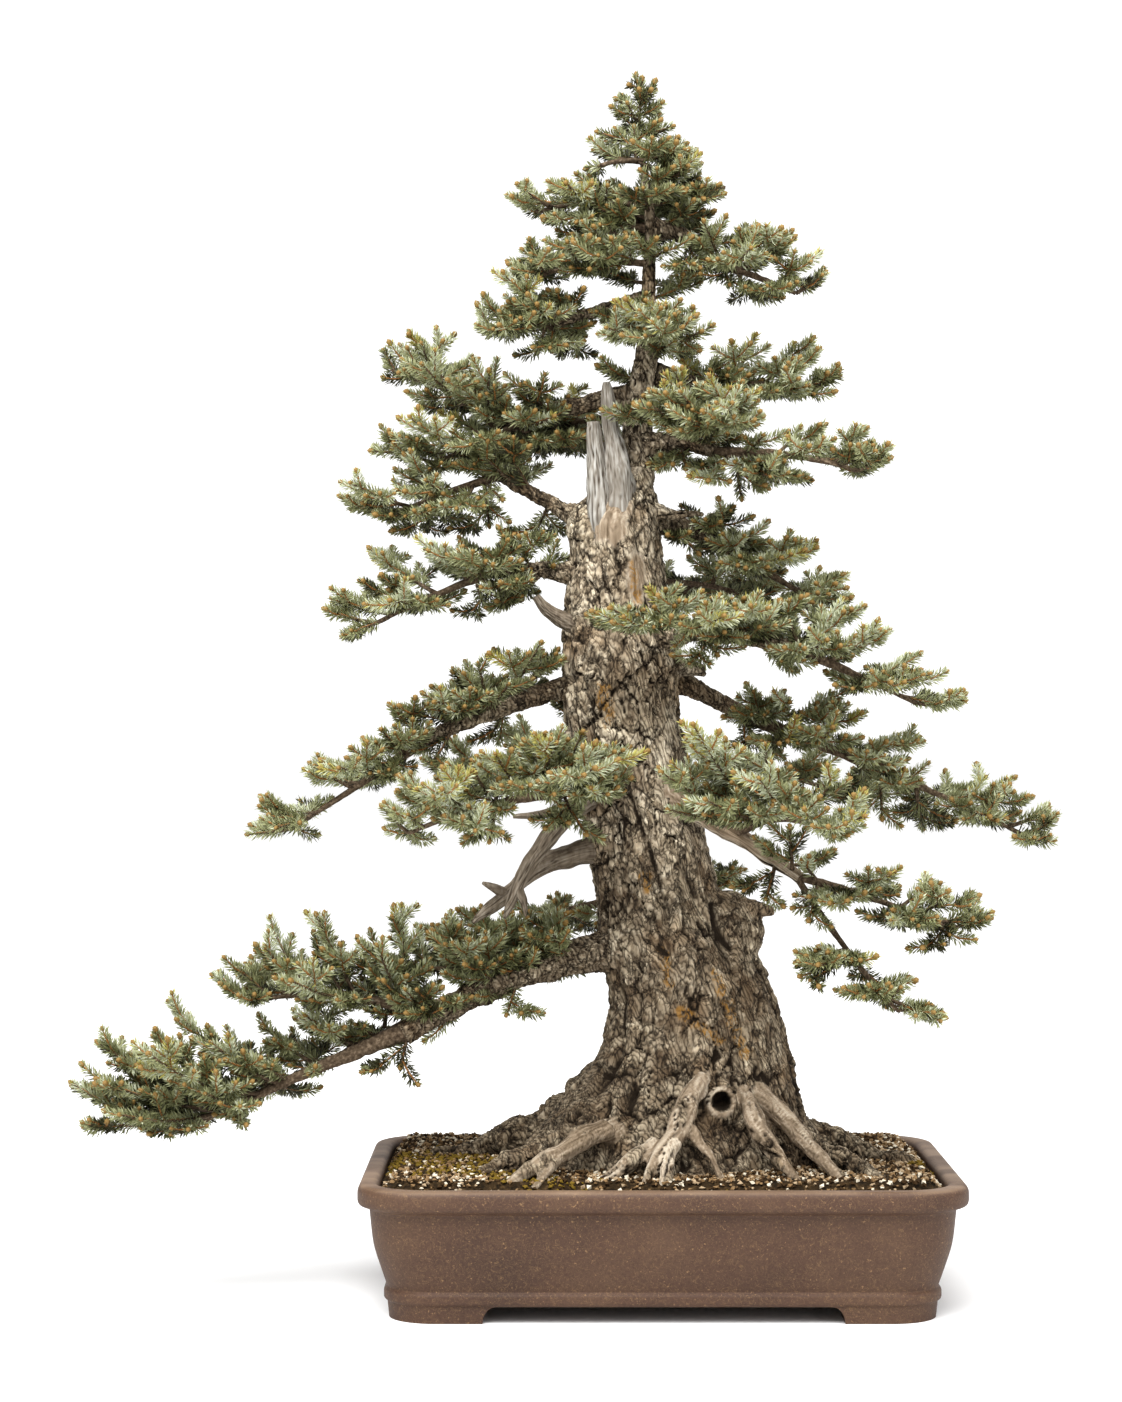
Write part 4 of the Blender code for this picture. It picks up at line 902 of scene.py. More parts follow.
def make_trunk(finish):
    points, normals, faces = trunk_body()
    x, y, z = points.T
    height, middle_x, middle_y, halves = np.array(TRUNK).T
    dx, dy = x - np.interp(z, height, middle_x), y - np.interp(z, height, middle_y)
    half = np.interp(z, height, halves)
    bark, crack, shade, root_share = bark_on_trunk(points, dx, dy, half)
    # Bare wood of the roots, the flank and the pocket, all on the viewer's side
    ragged = layered_noise(points / 0.008, 15, 2) - 0.5
    front = y < FRONT_OF_TRUNK
    bare_share, bare_places = along_chains(points, BARE_ROOTS)
    open_wood = open_wood_on_trunk(x, z, ragged) * front
    wood, groove, fine = blended(
        wood_relief(bare_places / WOOD_GRAIN), wood_relief(points / WOOD_GRAIN), open_wood
    )
    bare = np.maximum(fall(bare_share + 0.9 * ragged, 1.15, 1.45), open_wood)
    # Knothole with its rim on the front of the flare. Its mouth and the seam round the rim are painted
    # dark as shade.
    from_hole = np.hypot(x - KNOTHOLE[0], z - KNOTHOLE[1])
    facing = y < FRONT_OF_FLARE
    rim, seam = (bell(from_hole, *place) * facing for place in (RIM_BELL, SEAM_BELL))
    mouth, pit = (fall(from_hole, *edge) * facing for edge in (MOUTH_EDGE, PIT_EDGE))
    bare = np.maximum(bare * ramp(from_hole, *RIM_EDGE), 0.9 * ramp(rim, 0.2, 0.6))
    # The burl, with a crease on its left and below, sunk and painted dark as shade, where it bulges over
    # the trunk
    burl_share = np.linalg.norm((points - BURL_MIDDLE) / BURL_SIZE, axis=1)
    burl = fall(burl_share, 1.1, 1.5)
    notch = bell(burl_share, *CREASE_BELL) * (x < BURL_MIDDLE[0]) * (z < CREASE_TOP) * (y < 0)
    swirl = layered_noise(points / 0.018, 17, 2)[:, None]
    knots = fall(cells(points / (0.011, 0.011, 0.02) + 2.4 * swirl, 19)[0], 0.02, 0.14)
    bark = bark * (1 - burl) + burl * (0.2 - 0.7 * knots + 0.4 * bark)
    crack = crack * (1 - burl) + burl * 0.6 * knots
    # The long furrows of the trunk, away from all of these
    furrow, furrow_depth = furrows(np.arctan2(dy / TRUNK_DEPTH_RATIO, dx), z, half)
    lifted = fall(root_share, 1.3, 2.0) + fall(bare_share, 1.3, 2.0) + burl + open_wood
    on_ridges = np.clip(1 - lifted, 0, 1) * (z < RIDGED_HEIGHT)
    height = (
        (bark * np.interp(half, PLATE_HALVES, BARK_DEPTHS) - BARK_SINKS) * (1 - bare)
        + wood * bare * WOOD_DEPTH
        - FLANK_SINKS * open_wood
        - furrow_depth * on_ridges * (1 - bare)
        + RIM_HEIGHT * rim
        - RIM_HEIGHT * seam
        - CREASE_DEPTH * notch
        + KNOTHOLE_SWELL * bell(from_hole, 0.0, KNOTHOLE_REACH, 4) * facing
    )
    points = points + normals * height[:, None]
    points[:, 1] += KNOTHOLE_DEPTH * pit
    broken = ramp(layered_noise(points / (0.012, 0.012, 0.03), 37, 2), 0.4, 0.6)
    deep = np.maximum(crack, 0.95 * ramp(furrow, 0.55, 1.0) * on_ridges * broken) * (1 - bare)
    # Lighter higher up the trunk and darker at its foot, partly the greyer bark above and partly painted
    # light
    shade = np.clip(shade - 0.04 + 0.15 * ramp(z, 0.2, 0.46), 0, 1)
    # Painted shade in the cracks, furrows and grooves, the knothole's mouth, the seam round its rim and
    # the burl's crease
    obj = new_object("trunk_bark", points, faces, finish, True, {
        "hollow": np.maximum.reduce([deep, groove * bare, mouth, 0.3 * seam, notch]),
        "shade": shade * (1 - bare) + fine * bare,
        "bare": bare,
        "lichen": front * lichen_streaks(points[:, 0], z, ragged) * (1 - 0.6 * deep),
    })
    return place_piece(obj, ["trunk"])


def bough_points(bough):
    start, _ = trunk_at(bough.height)
    end = start + plan(bough.heading) * bough.reach + UP * bough.rise
    return bend(start, end, bough.arch, 7)


def make_boughs(finish):
    """All boughs as one piece, each from inside the trunk's bark to its own tip."""
    pile = Pile()
    for index, bough in enumerate(BOUGHS):
        points = bough_points(bough)
        begin = min(0.6, 0.8 * trunk_at(bough.height)[1] / bough.reach)
        rng = random.Random(bough.name)
        chain = []
        for step in range(BOUGH_STATIONS):
            share = begin + (1 - begin) * step / (BOUGH_STATIONS - 1)
            radius = bough.thick + (bough.thin - bough.thick) * share
            wander = 0.12 * radius if 0 < step < BOUGH_STATIONS - 1 else 0.0
            place = along_chain(points, share) + Vector([rng.uniform(-wander, wander) for _ in range(3)])
            chain.append((*place, radius))
        bare = float(bough.name in BARE_BOUGHS)
        limb(
            pile, chain, spacing=0.0018, plate_size=0.0055, amount=0.0014, bare=bare,
            collar=BOUGH_COLLAR, knots=0.5, salt=index,
        )
    return place_piece(pile.made("boughs_bark", finish), [bough.name for bough in BOUGHS])


def make_dead_wood(silver, grey):
    for index, (name, chains) in enumerate(DEAD_WOOD.items()):
        pile = Pile()
        for order, chain in enumerate(chains):
            limb(
                pile, chain, spacing=0.0013, plate_size=0.005, amount=0.001, bare=1.0,
                collar=0.3, knots=0.5, salt=3 * index + order,
            )
        finish = silver if name == "dead_top" else grey
        place_piece(pile.made(name + "_silver", finish), [name])


# Foliage


class Space:
    """The room of one mass: an ellipsoid, tilted in the picture plane."""

    def __init__(self, mass, root):
        self.middle, self.half = Vector(mass.middle), Vector(mass.half)
        self.turn = Matrix.Rotation(-math.radians(mass.tilt), 3, "Y")
        self.side = 1 if self.middle.x >= root.x else -1

    def place(self, x, y, z):
        """World point of a place in the unit ball, with +x pointing away from the mass's root."""
        local = Vector((self.side * x * self.half.x, y * self.half.y, z * self.half.z))
        return self.middle + self.turn @ local

    def local(self, point):
        away = self.turn.transposed() @ (point - self.middle)
        return [a / b for a, b in zip(away, self.half)]

    def share(self, point):
        """How far a point lies from the middle, where 1 is the edge of the space."""
        return math.sqrt(sum(a * a for a in self.local(point)))


Shoot = namedtuple("Shoot", "start bend end bud tint")


def spiral_targets(count, rng):
    """Places spread evenly over the unit ball's surface, without its underside."""
    start = rng.uniform(0, 2 * math.pi)
    for index in range(count):
        z = 1 - (1 - LOWEST_TWIG) * (index + 0.5) / count
        ring = math.sqrt(1 - z * z)
        angle = start + GOLDEN_ANGLE * index
        yield ring * math.cos(angle), ring * math.sin(angle), z


def curve_heading(curve, t):
    start, middle, end = curve
    return (middle - start) * (1 - t) + (end - middle) * t


def outer_part(curve, t):
    """The part of a curve from the share t to its end."""
    return curve_at(curve, t), curve[1].lerp(curve[2], t), curve[2]


def beside(forward):
    """The level direction to the right of a heading."""
    side = forward.cross(UP)
    return side.normalized() if side.length > 0.1 else Vector((1, 0, 0))


def in_trunk(point):
    middle, half = trunk_at(point.z)
    away = math.hypot(point.x - middle.x, point.y - middle.y)
    return point.z < TRUNK[-1][0] and away < half + TRUNK_CLEARANCE


def in_box(point):
    low, high = (corner - ORIGIN for corner in CAD_BOX)
    return all(low[k] + NEEDLE_ROOM < point[k] < high[k] - NEEDLE_ROOM for k in range(3))


def in_cone(point):
    """Whether a point lies inside the pointed outline of the crown."""
    middle = trunk_at(point.z)[0].lerp(Vector(CROWN_TIP), min(1, max(0, (point.z - 0.99) / 0.04)))
    away = math.hypot(point.x - middle.x, point.y - middle.y)
    return point.z < CONE_FOOT or away < CONE_SLOPE * (CONE_TIP - point.z) + CONE_LEAST


def mass_root(mass):
    """The point where a mass's stem leaves its limb, and the stem's radius there."""
    if mass.limb == "trunk":
        return trunk_at(mass.along)[0], STEM_THICK
    bough = next(bough for bough in BOUGHS if bough.name == mass.limb)
    radius = bough.thick + (bough.thin - bough.thick) * mass.along
    share = 0.95 if mass.along == 1 else STEM_SHARE
    return along_chain(bough_points(bough), min(mass.along, FURTHEST_STEM)), share * radius


class Growth:
    """Twigs and needle shoots, inside the space of a mass or free of one."""

    def __init__(self, name, light, space, wood, shoots):
        self.edge = EDGE_SHARE
        self.rng = random.Random(name)
        self.light, self.space = light, space
        self.wood, self.shoots = wood, shoots

    def tint_of(self, point):
        """A tint number: lighter at the top, at the edge and in front, partly young growth and partly
        painted light, and darker inside and below as painted shade.
        """
        x, y, z = self.space.local(point) if self.space else (0.6, 0.0, 0.0)
        value = 0.8 + math.sqrt(x * x + y * y + z * z) + 0.85 * z - 0.3 * y + 1.2 * self.light
        return value + self.rng.gauss(0, 0.6)

    def fits(self, point):
        inside = self.space is None or self.space.share(point) <= self.edge
        return inside and in_cone(point) and in_box(point)

    def shoot(self, start, heading, length):
        """A shoot of needles whose tip turns up, unless it would leave the mass's space."""
        heading = heading.normalized()
        if self.space is None and not in_cone(start + heading * length):
            length *= 0.6
        for _ in range(4):
            end = start + heading * length
            if self.fits(end):
                break
            length *= 0.8
        else:
            return None
        if length < SIDE_SHORTEST or in_trunk(end):
            return None
        middle = (start + end) / 2 - UP * (TIP_LIFT * length)
        self.shoots.append(Shoot(start, middle, end, True, self.tint_of(end)))
        return start, middle, end

    def side_shoots(self, curve, length):
        """Shoots on both sides of a twig, with some on top, that shorten towards its tip."""
        count = max(2, int(length / SIDE_SPACING))
        for index in range(count):
            t = 0.16 + 0.8 * (index + self.rng.uniform(0.1, 0.9)) / count
            forward = curve_heading(curve, t).normalized()
            side = -beside(forward) if index % 2 else beside(forward)
            angle = math.radians(SIDE_ANGLE + self.rng.uniform(-12, 10))
            heading = forward * math.cos(angle) + side * math.sin(angle)
            heading += UP * self.rng.uniform(-0.15, 0.4)
            if index % 4 == 3:
                heading = forward * 0.6 + UP * 0.8 + side * 0.3
            reach = SIDE_LONGEST * (1.0 - 0.45 * t) * self.rng.uniform(0.75, 1.15)
            made = self.shoot(curve_at(curve, t), heading, reach)
            if made and (made[2] - made[0]).length > FORK_FROM:
                self.fork(made)

    def fork(self, curve):
        """A pair of short shoots half way along a side shoot."""
        length = (curve[2] - curve[0]).length * FORK_SHARE
        for sign in (-1, 1):
            t = self.rng.uniform(0.4, 0.62)
            forward = curve_heading(curve, t).normalized()
            heading = forward * 0.65 + beside(forward) * (0.72 * sign)
            heading += UP * self.rng.uniform(-0.1, 0.25)
            self.shoot(curve_at(curve, t), heading, length)

    def twig(self, joint, target, thick=TWIG_THICK):
        """A twig from its joint to the target, bare at its foot and needled further out."""
        while not in_box(target) and (target - joint).length > SIDE_SHORTEST:
            target = joint.lerp(target, 0.9)
        length = (target - joint).length
        middle = (joint + target) / 2 - UP * (TIP_LIFT * length * self.rng.uniform(0.3, 1.2))
        curve = (joint, middle, target)
        if in_trunk(target) or not in_cone(target):
            return
        self.wood.append(([curve_at(curve, step / 5) for step in range(6)], thick, TWIG_THIN))
        outer = outer_part(curve, 1 - NEEDLED_SHARE)
        pieces = max(1, round((outer[2] - outer[0]).length / LONGEST_SHOOT))
        for index in range(pieces):
            first, end = (curve_at(outer, (index + more) / pieces) for more in (0, 1))
            last = index == pieces - 1
            self.shoots.append(Shoot(first, (first + end) / 2, end, last, self.tint_of(end)))
        self.side_shoots(curve, length)


def grow_mass(mass, wood, shoots):
    """A stem from the limb into the mass's space, and twigs from it to targets on its edge."""
    root, radius = mass_root(mass)
    space = Space(mass, root)
    growth = Growth(mass.name, mass.light, space, wood, shoots)
    rng, half = growth.rng, space.half
    far = Vector(STEM_ENDS.get(mass.name, space.place(STEM_REACH, 0, STEM_LOW)))
    run = far - root
    stem = bend(root, far, STEM_ARCH * run.xy.length + STEM_SAG * run.z, 8)
    wood.append((stem, radius, STEM_THIN))
    growth.twig(stem[-1], space.place(1, 0, 0.1), STEM_THIN)
    area = half.x * half.y + half.x * half.z + half.y * half.z
    for x, y, z in spiral_targets(max(LEAST_TWIGS, round(TWIGS_PER_AREA * area)), rng):
        tuft = z > -0.15 and rng.random() < TUFT_SHARE
        reach = TUFT_REACH if tuft else rng.uniform(*TARGET_REACH)
        growth.edge = TUFT_REACH + 0.08 if tuft else EDGE_SHARE
        target = space.place(reach * x, reach * y, reach * z)
        distance, share = min(
            ((along_chain(stem, step / 24) - target).length, step / 24) for step in range(25)
        )
        joint = along_chain(stem, max(FIRST_TWIG, share - TWIG_LEAN * distance / run.length))
        if space.share(joint) > 1.25:
            joint = joint.lerp(space.middle, 0.35)
        growth.twig(joint, target)


def grow_sprigs_on(bough, wood, shoots):
    """Short sprigs along the outer part of a bough, mostly on its sides and its back."""
    growth = Growth("sprigs " + bough.name, 0.0, None, wood, shoots)
    rng = growth.rng
    points = bough_points(bough)
    first = SPRIG_FROM.get(bough.name, MOST_SPRIGS_FROM)
    count = int((1 - first) * bough.reach / SPRIG_SPACING)
    for index in range(count):
        share = first + (1 - first) * (index + rng.random()) / count
        joint = along_chain(points, share)
        forward = (along_chain(points, share + 0.02) - along_chain(points, share - 0.02)).normalized()
        side = forward.cross(UP).normalized() * (-1 if index % 2 else 1)
        lift = rng.uniform(0.1, 1.0) if index % 5 else -0.6
        heading = forward * rng.uniform(0.2, 0.8) + side * rng.uniform(0.3, 0.8) + UP * lift
        growth.twig(joint, joint + heading.normalized() * rng.uniform(*SPRIG_LENGTH))


def grow_leader_sprigs(wood, shoots):
    """Whorls round the leader: sparse on its lower part, dense in the cone of the crown."""
    growth = Growth("leader", 0.1, None, wood, shoots)
    rng = growth.rng
    height, turn = LEADER_FIRST, 0.0
    top, _ = trunk_at(TRUNK[-1][0])
    tip = Vector(CROWN_TIP)
    growth.twig(top - UP * 0.03, tip)
    while height < CROWN_TIP[2] - 0.006:
        joint, _ = trunk_at(height)
        if height > top.z:
            joint = top.lerp(tip, (height - top.z) / (tip.z - top.z))
        dense = height > LEADER_FOLIAGE
        reach = min(CONE_WIDEST, (CONE_TIP - height) * CONE_SLOPE) if dense else LEADER_REACH
        heading = plan(math.degrees(turn)) + UP * rng.uniform(0.05, 0.5)
        growth.twig(joint, joint + heading.normalized() * reach * rng.uniform(0.7, 1.05))
        height += LEADER_SPACING[dense] * rng.uniform(0.7, 1.3)
        turn += GOLDEN_ANGLE


def wood_mesh(pieces, finish):
    """Stems and twigs as one joined mesh of tubes, six-sided where they are thick."""
    pile = Pile()
    for points, thick, thin in pieces:
        chain = np.array(points)
        radii = thin + (thick - thin) * np.linspace(1, 0, len(chain)) ** 1.3
        sides = 6 if thick > SIX_SIDED_FROM else 4
        if sides == 6:
            chain, radii, _ = resampled(np.column_stack([chain, radii]), CHAIN_SPACING)
        surface, out, _ = tube_surface(chain, radii, sides)
        rough = layered_noise(surface / TWIG_LUMP, 23, 2) - 0.5
        pile.add_tube(surface + out * (0.5 * rough * np.repeat(radii, sides))[:, None], chain)
    return pile.made("twigs_old", finish)


def shoot_arrays(shoots):
    return [np.array([shoot[k] for shoot in shoots]) for k in range(3)]


def place_on(curves, owner, t):
    """Points, headings and two directions across them, at the shares t of the owners' curves."""
    curve = [part[owner] for part in curves]
    heading = curve_heading(curve, t[:, None])
    heading /= np.linalg.norm(heading, axis=1, keepdims=True)
    return curve_at(curve, t[:, None]), heading, *across(heading)


def across(headings):
    """Two directions at right angles to each heading."""
    other = np.where(np.abs(headings[:, 2:]) < 0.9, [[0.0, 0.0, 1.0]], [[1.0, 0.0, 0.0]])
    side = np.cross(headings, other)
    side /= np.linalg.norm(side, axis=1, keepdims=True)
    return side, np.cross(headings, side)


def make_needles(shoots, finishes, rng):
    """Every needle is a blade folded along its middle. Those of one tint make one joined mesh."""
    curves = shoot_arrays(shoots)
    length = np.linalg.norm(curves[2] - curves[0], axis=1)
    count = np.maximum(10, (length / NEEDLE_SPACING).astype(int))
    owner = np.repeat(np.arange(len(shoots)), count)
    number = len(owner)
    order = np.arange(number) - (np.cumsum(count) - count)[owner]
    t = (order + rng.random(number)) / count[owner]
    base, heading, side, lift = place_on(curves, owner, t)
    turn = order * GOLDEN_ANGLE + rng.normal(0, NEEDLE_STRAYS, number)
    steep, flat = NEEDLE_LEAN
    lean = np.radians(steep + (flat - steep) * t**2 + rng.normal(0, LEAN_VARIES, number))
    out = side * np.cos(turn)[:, None] + lift * np.sin(turn)[:, None]
    way = heading * np.cos(lean)[:, None] + out * np.sin(lean)[:, None]
    way[:, 2] += NEEDLE_RISE
    way /= np.linalg.norm(way, axis=1, keepdims=True)
    long = NEEDLE_LENGTH * rng.uniform(*NEEDLE_VARIES, number) * (1 - NEEDLE_SHORTENS * t**3)
    tip = base + way * long[:, None]
    low, high = (np.array(corner - ORIGIN) for corner in CAD_BOX)
    kept = np.all((tip > low + TIP_ROOM) & (tip < high - TIP_ROOM), axis=1)
    tint = np.array([shoot.tint for shoot in shoots])[owner] + rng.normal(0, 0.45, number)
    tint += 0.9 * ramp(t, 0.7, 1.0)
    tint = np.clip(np.floor(tint), 0, len(NEEDLE_TINTS) - 1).astype(int)
    flat, deep = across(way)
    spin = rng.uniform(0, 2 * math.pi, number)[:, None]
    wing = NEEDLE_HALF_WIDTH * (flat * np.cos(spin) + deep * np.sin(spin))
    fold = NEEDLE_FOLD * (deep * np.cos(spin) - flat * np.sin(spin))
    middle = base + way * (NEEDLE_WIDEST * long[:, None]) + fold
    blades = np.stack([base, middle - wing, tip, middle + wing], axis=1)
    for index, (name, finish) in enumerate(finishes.items()):
        chosen = blades[kept & (tint == index)]
        for part, piece in enumerate(np.array_split(chosen, math.ceil(len(chosen) / MOST_NEEDLES))):
            faces = repeated([[0, 1, 2], [0, 2, 3]], len(piece))
            place_piece(new_object(f"{name}_{part + 1}", piece, faces, finish))


def make_young_twigs(shoots, finish):
    """The thin golden wood under the needles, three-sided."""
    curves, number = shoot_arrays(shoots), len(shoots)
    rows = []
    for t, share in ((0.0, 1.0), (0.5, 0.9), (1.0, 0.7)):
        place, _, side, lift = place_on(curves, np.arange(number), np.full(number, t))
        for corner in range(3):
            angle = corner * 2 * math.pi / 3
            rows.append(place + share * SHOOT_RADIUS * (side * math.cos(angle) + lift * math.sin(angle)))
    faces = repeated(quads_between(3, 3), number)
    obj = new_object("twigs_young", np.stack(rows, axis=1), faces, finish, True)
    return place_piece(obj)


def make_buds(shoots, finish, rng):
    """A pointed bud on the tip of each shoot that ends a twig."""
    ends = [shoot for shoot in shoots if shoot.bud]
    number = len(ends)
    place, heading, side, lift = place_on(shoot_arrays(ends), np.arange(number), np.ones(number))
    size = rng.uniform(0.75, 1.2, number)[:, None]
    rows = [place - heading * 0.001]
    for along, wide in ((0.25, 0.95), (0.7, 0.8)):
        for corner in range(5):
            angle = (corner + along) * 2 * math.pi / 5
            out = side * math.cos(angle) + lift * math.sin(angle)
            rows.append(place + size * (heading * (along * BUD_LENGTH) + out * (wide * BUD_RADIUS)))
    rows.append(place + size * heading * BUD_LENGTH)
    faces = []
    for here, after in ((1, 2), (2, 3), (3, 4), (4, 5), (5, 1)):
        faces += [[0, after, here], [here, after, after + 5]]
        faces += [[here, after + 5, here + 5], [here + 5, after + 5, 11]]
    obj = new_object("buds", np.stack(rows, axis=1), repeated(faces, number), finish, True)
    return place_piece(obj)


# Pot and soil


def rounded_ring(inset, height):
    """A level ring of the pot's outline, moved inwards by the inset."""
    radius = CORNER_RADIUS - CORNER_TIGHTENS * inset
    ring = []
    for corner, (sign_x, sign_y) in enumerate(((1, 1), (-1, 1), (-1, -1), (1, -1))):
        for step in range(CORNER_POINTS):
            angle = math.pi / 2 * (corner + step / (CORNER_POINTS - 1))
            x = sign_x * (POT_LENGTH / 2 - inset - radius) + radius * math.cos(angle)
            y = sign_y * (POT_DEPTH / 2 - inset - radius) + radius * math.sin(angle)
            ring.append((x, y, height))
    return ring


def softened(section):
    """The section with each edge rounded by its own amount."""
    found = []
    for index, (inset, height, soft) in enumerate(section):
        here = Vector((inset, height))
        if soft == 0 or index in (0, len(section) - 1):
            found.append(here)
            continue
        ends = []
        for other in (section[index - 1], section[index + 1]):
            away = Vector(other[:2]) - here
            ends.append(here + away.normalized() * min(soft, 0.45 * away.length))
        curve = (ends[0], here, ends[1])
        found += [curve_at(curve, step / EDGE_STEPS) for step in range(EDGE_STEPS + 1)]
    return found


def foot_gap_cutter(axis, half_gap, reach):
    """A bar under the pot whose upper edges are coved, to leave a foot at each corner."""
    outline = [(-half_gap, -0.03), (-half_gap, FOOT_PLANE)]
    for step in range(1, 8):
        angle = math.pi / 2 * step / 7
        x = -half_gap + FOOT_GAP_CURVE * (1 - math.cos(angle))
        outline.append((x, FOOT_PLANE + (FOOT_GAP_TOP - FOOT_PLANE) * math.sin(angle)))
    outline += [(-x, z) for x, z in reversed(outline)]
    bm = bmesh.new()
    ends = []
    for sign in (-1, 1):
        places = [(x, sign * reach, z) if axis == "X" else (sign * reach, x, z) for x, z in outline]
        ends.append([bm.verts.new(Vector(place) + ORIGIN) for place in places])
        bm.faces.new(ends[-1])
    for index in range(len(outline)):
        after = (index + 1) % len(outline)
        bm.faces.new((ends[0][index], ends[0][after], ends[1][after], ends[1][index]))
    bmesh.ops.recalc_face_normals(bm, faces=bm.faces)
    mesh = bpy.data.meshes.new("gap")
    bm.to_mesh(mesh)
    bm.free()
    return linked("gap", mesh)


def make_pot(finish):
    rings = np.array([rounded_ring(*place) for place in softened(POT_SECTION)])
    count, sides, _ = rings.shape
    floor = np.arange(sides)[::-1][None]
    bed = (np.arange(sides) + (count - 1) * sides)[None]
    pot = new_object("pot_clay", rings, [quads_between(count, sides), floor, bed], finish)
    for axis, half_gap, reach in zip("XY", FOOT_GAP_HALF, (POT_DEPTH, POT_LENGTH)):
        cutter = foot_gap_cutter(axis, half_gap, reach)
        boolean = pot.modifiers.new("foot gap", "BOOLEAN")
        boolean.operation = "DIFFERENCE"
        boolean.object = cutter
        bpy.context.view_layer.update()
        graph = bpy.context.evaluated_depsgraph_get()
        mesh = bpy.data.meshes.new_from_object(pot.evaluated_get(graph))
        pot.modifiers.clear()
        pot.data = mesh
        bpy.data.objects.remove(cutter)
    height = read_points(pot.data, "co")[:, 2] - ORIGIN.z
    mark_points(pot.data, "worn", ramp(height, *RIM_TOP_HEIGHTS))
    pot.data.shade_smooth()
    pot.data.set_sharp_from_angle(angle=math.radians(SHARP_FROM))
    return place_piece(pot, ["pot"])


def soil_height(x, y):
    """The soil's surface: lower along the wall, flat further in."""
    inside = np.minimum(POT_LENGTH / 2 - np.abs(x), POT_DEPTH / 2 - np.abs(y)) - WALL_INSET
    return SOIL_EDGE + (SOIL_TOP - SOIL_EDGE) * ramp(inside, 0.0, SOIL_SLOPE)


def make_grains(finishes, rng):
    """Angular grains strewn over the soil, moss ones gathered in patches."""
    half_x, half_y = (size / 2 - WALL_INSET - GRAIN_GAP for size in (POT_LENGTH, POT_DEPTH))
    x = rng.uniform(-half_x, half_x, GRAINS)
    y = rng.uniform(-half_y, half_y, GRAINS)
    corner = CORNER_RADIUS - CORNER_TIGHTENS * WALL_INSET
    past_x, past_y = (
        np.maximum(0, np.abs(along) - (half - corner)) for along, half in ((x, half_x), (y, half_y))
    )
    footprint = np.hypot((x - TRUNK[0][1]) / TRUNK_FOOTPRINT[0], y / TRUNK_FOOTPRINT[1])
    kept = (np.hypot(past_x, past_y) < corner) & (footprint > 1)
    x, y = x[kept], y[kept]
    number = len(x)
    size = rng.uniform(*GRAIN_RADIUS, number)
    middle = np.column_stack([x, y, soil_height(x, y) + 0.35 * size])
    shape = np.array([(1, 0, 0), (-1, 0, 0), (0, 1, 0), (0, -1, 0), (0, 0, 1), (0, 0, -1)], float)
    shape = shape[None] * rng.uniform(0.7, 1.25, (number, 6, 1)) + rng.normal(0, 0.16, (number, 6, 3))
    turn = np.linalg.qr(rng.normal(size=(number, 3, 3)))[0]
    corners = np.einsum("nij,nkj->nki", turn, shape) * size[:, None, None]
    corners[:, :, 2] *= 0.8
    corners += middle[:, None]
    faces = [[0, 2, 4], [2, 1, 4], [1, 3, 4], [3, 0, 4], [2, 0, 5], [1, 2, 5], [3, 1, 5], [0, 3, 5]]
    patch = layered_noise(np.column_stack([x, y, np.zeros(number)]) / MOSS_PATCH, 33, 2)
    kind = rng.choice(len(GRAIN_SHARES), number, p=GRAIN_SHARES)
    patch = patch + 0.09 * ramp(-x, 0.06, 0.14) - 0.12 * ramp(x, -0.02, 0.05)
    kind[(patch > 0.62) & (rng.random(number) < 0.6)] = len(GRAIN_SHARES)
    for index, (name, finish) in enumerate(finishes.items()):
        chosen = corners[kind == index]
        place_piece(new_object(name, chosen, repeated(faces, len(chosen)), finish))


# Materials


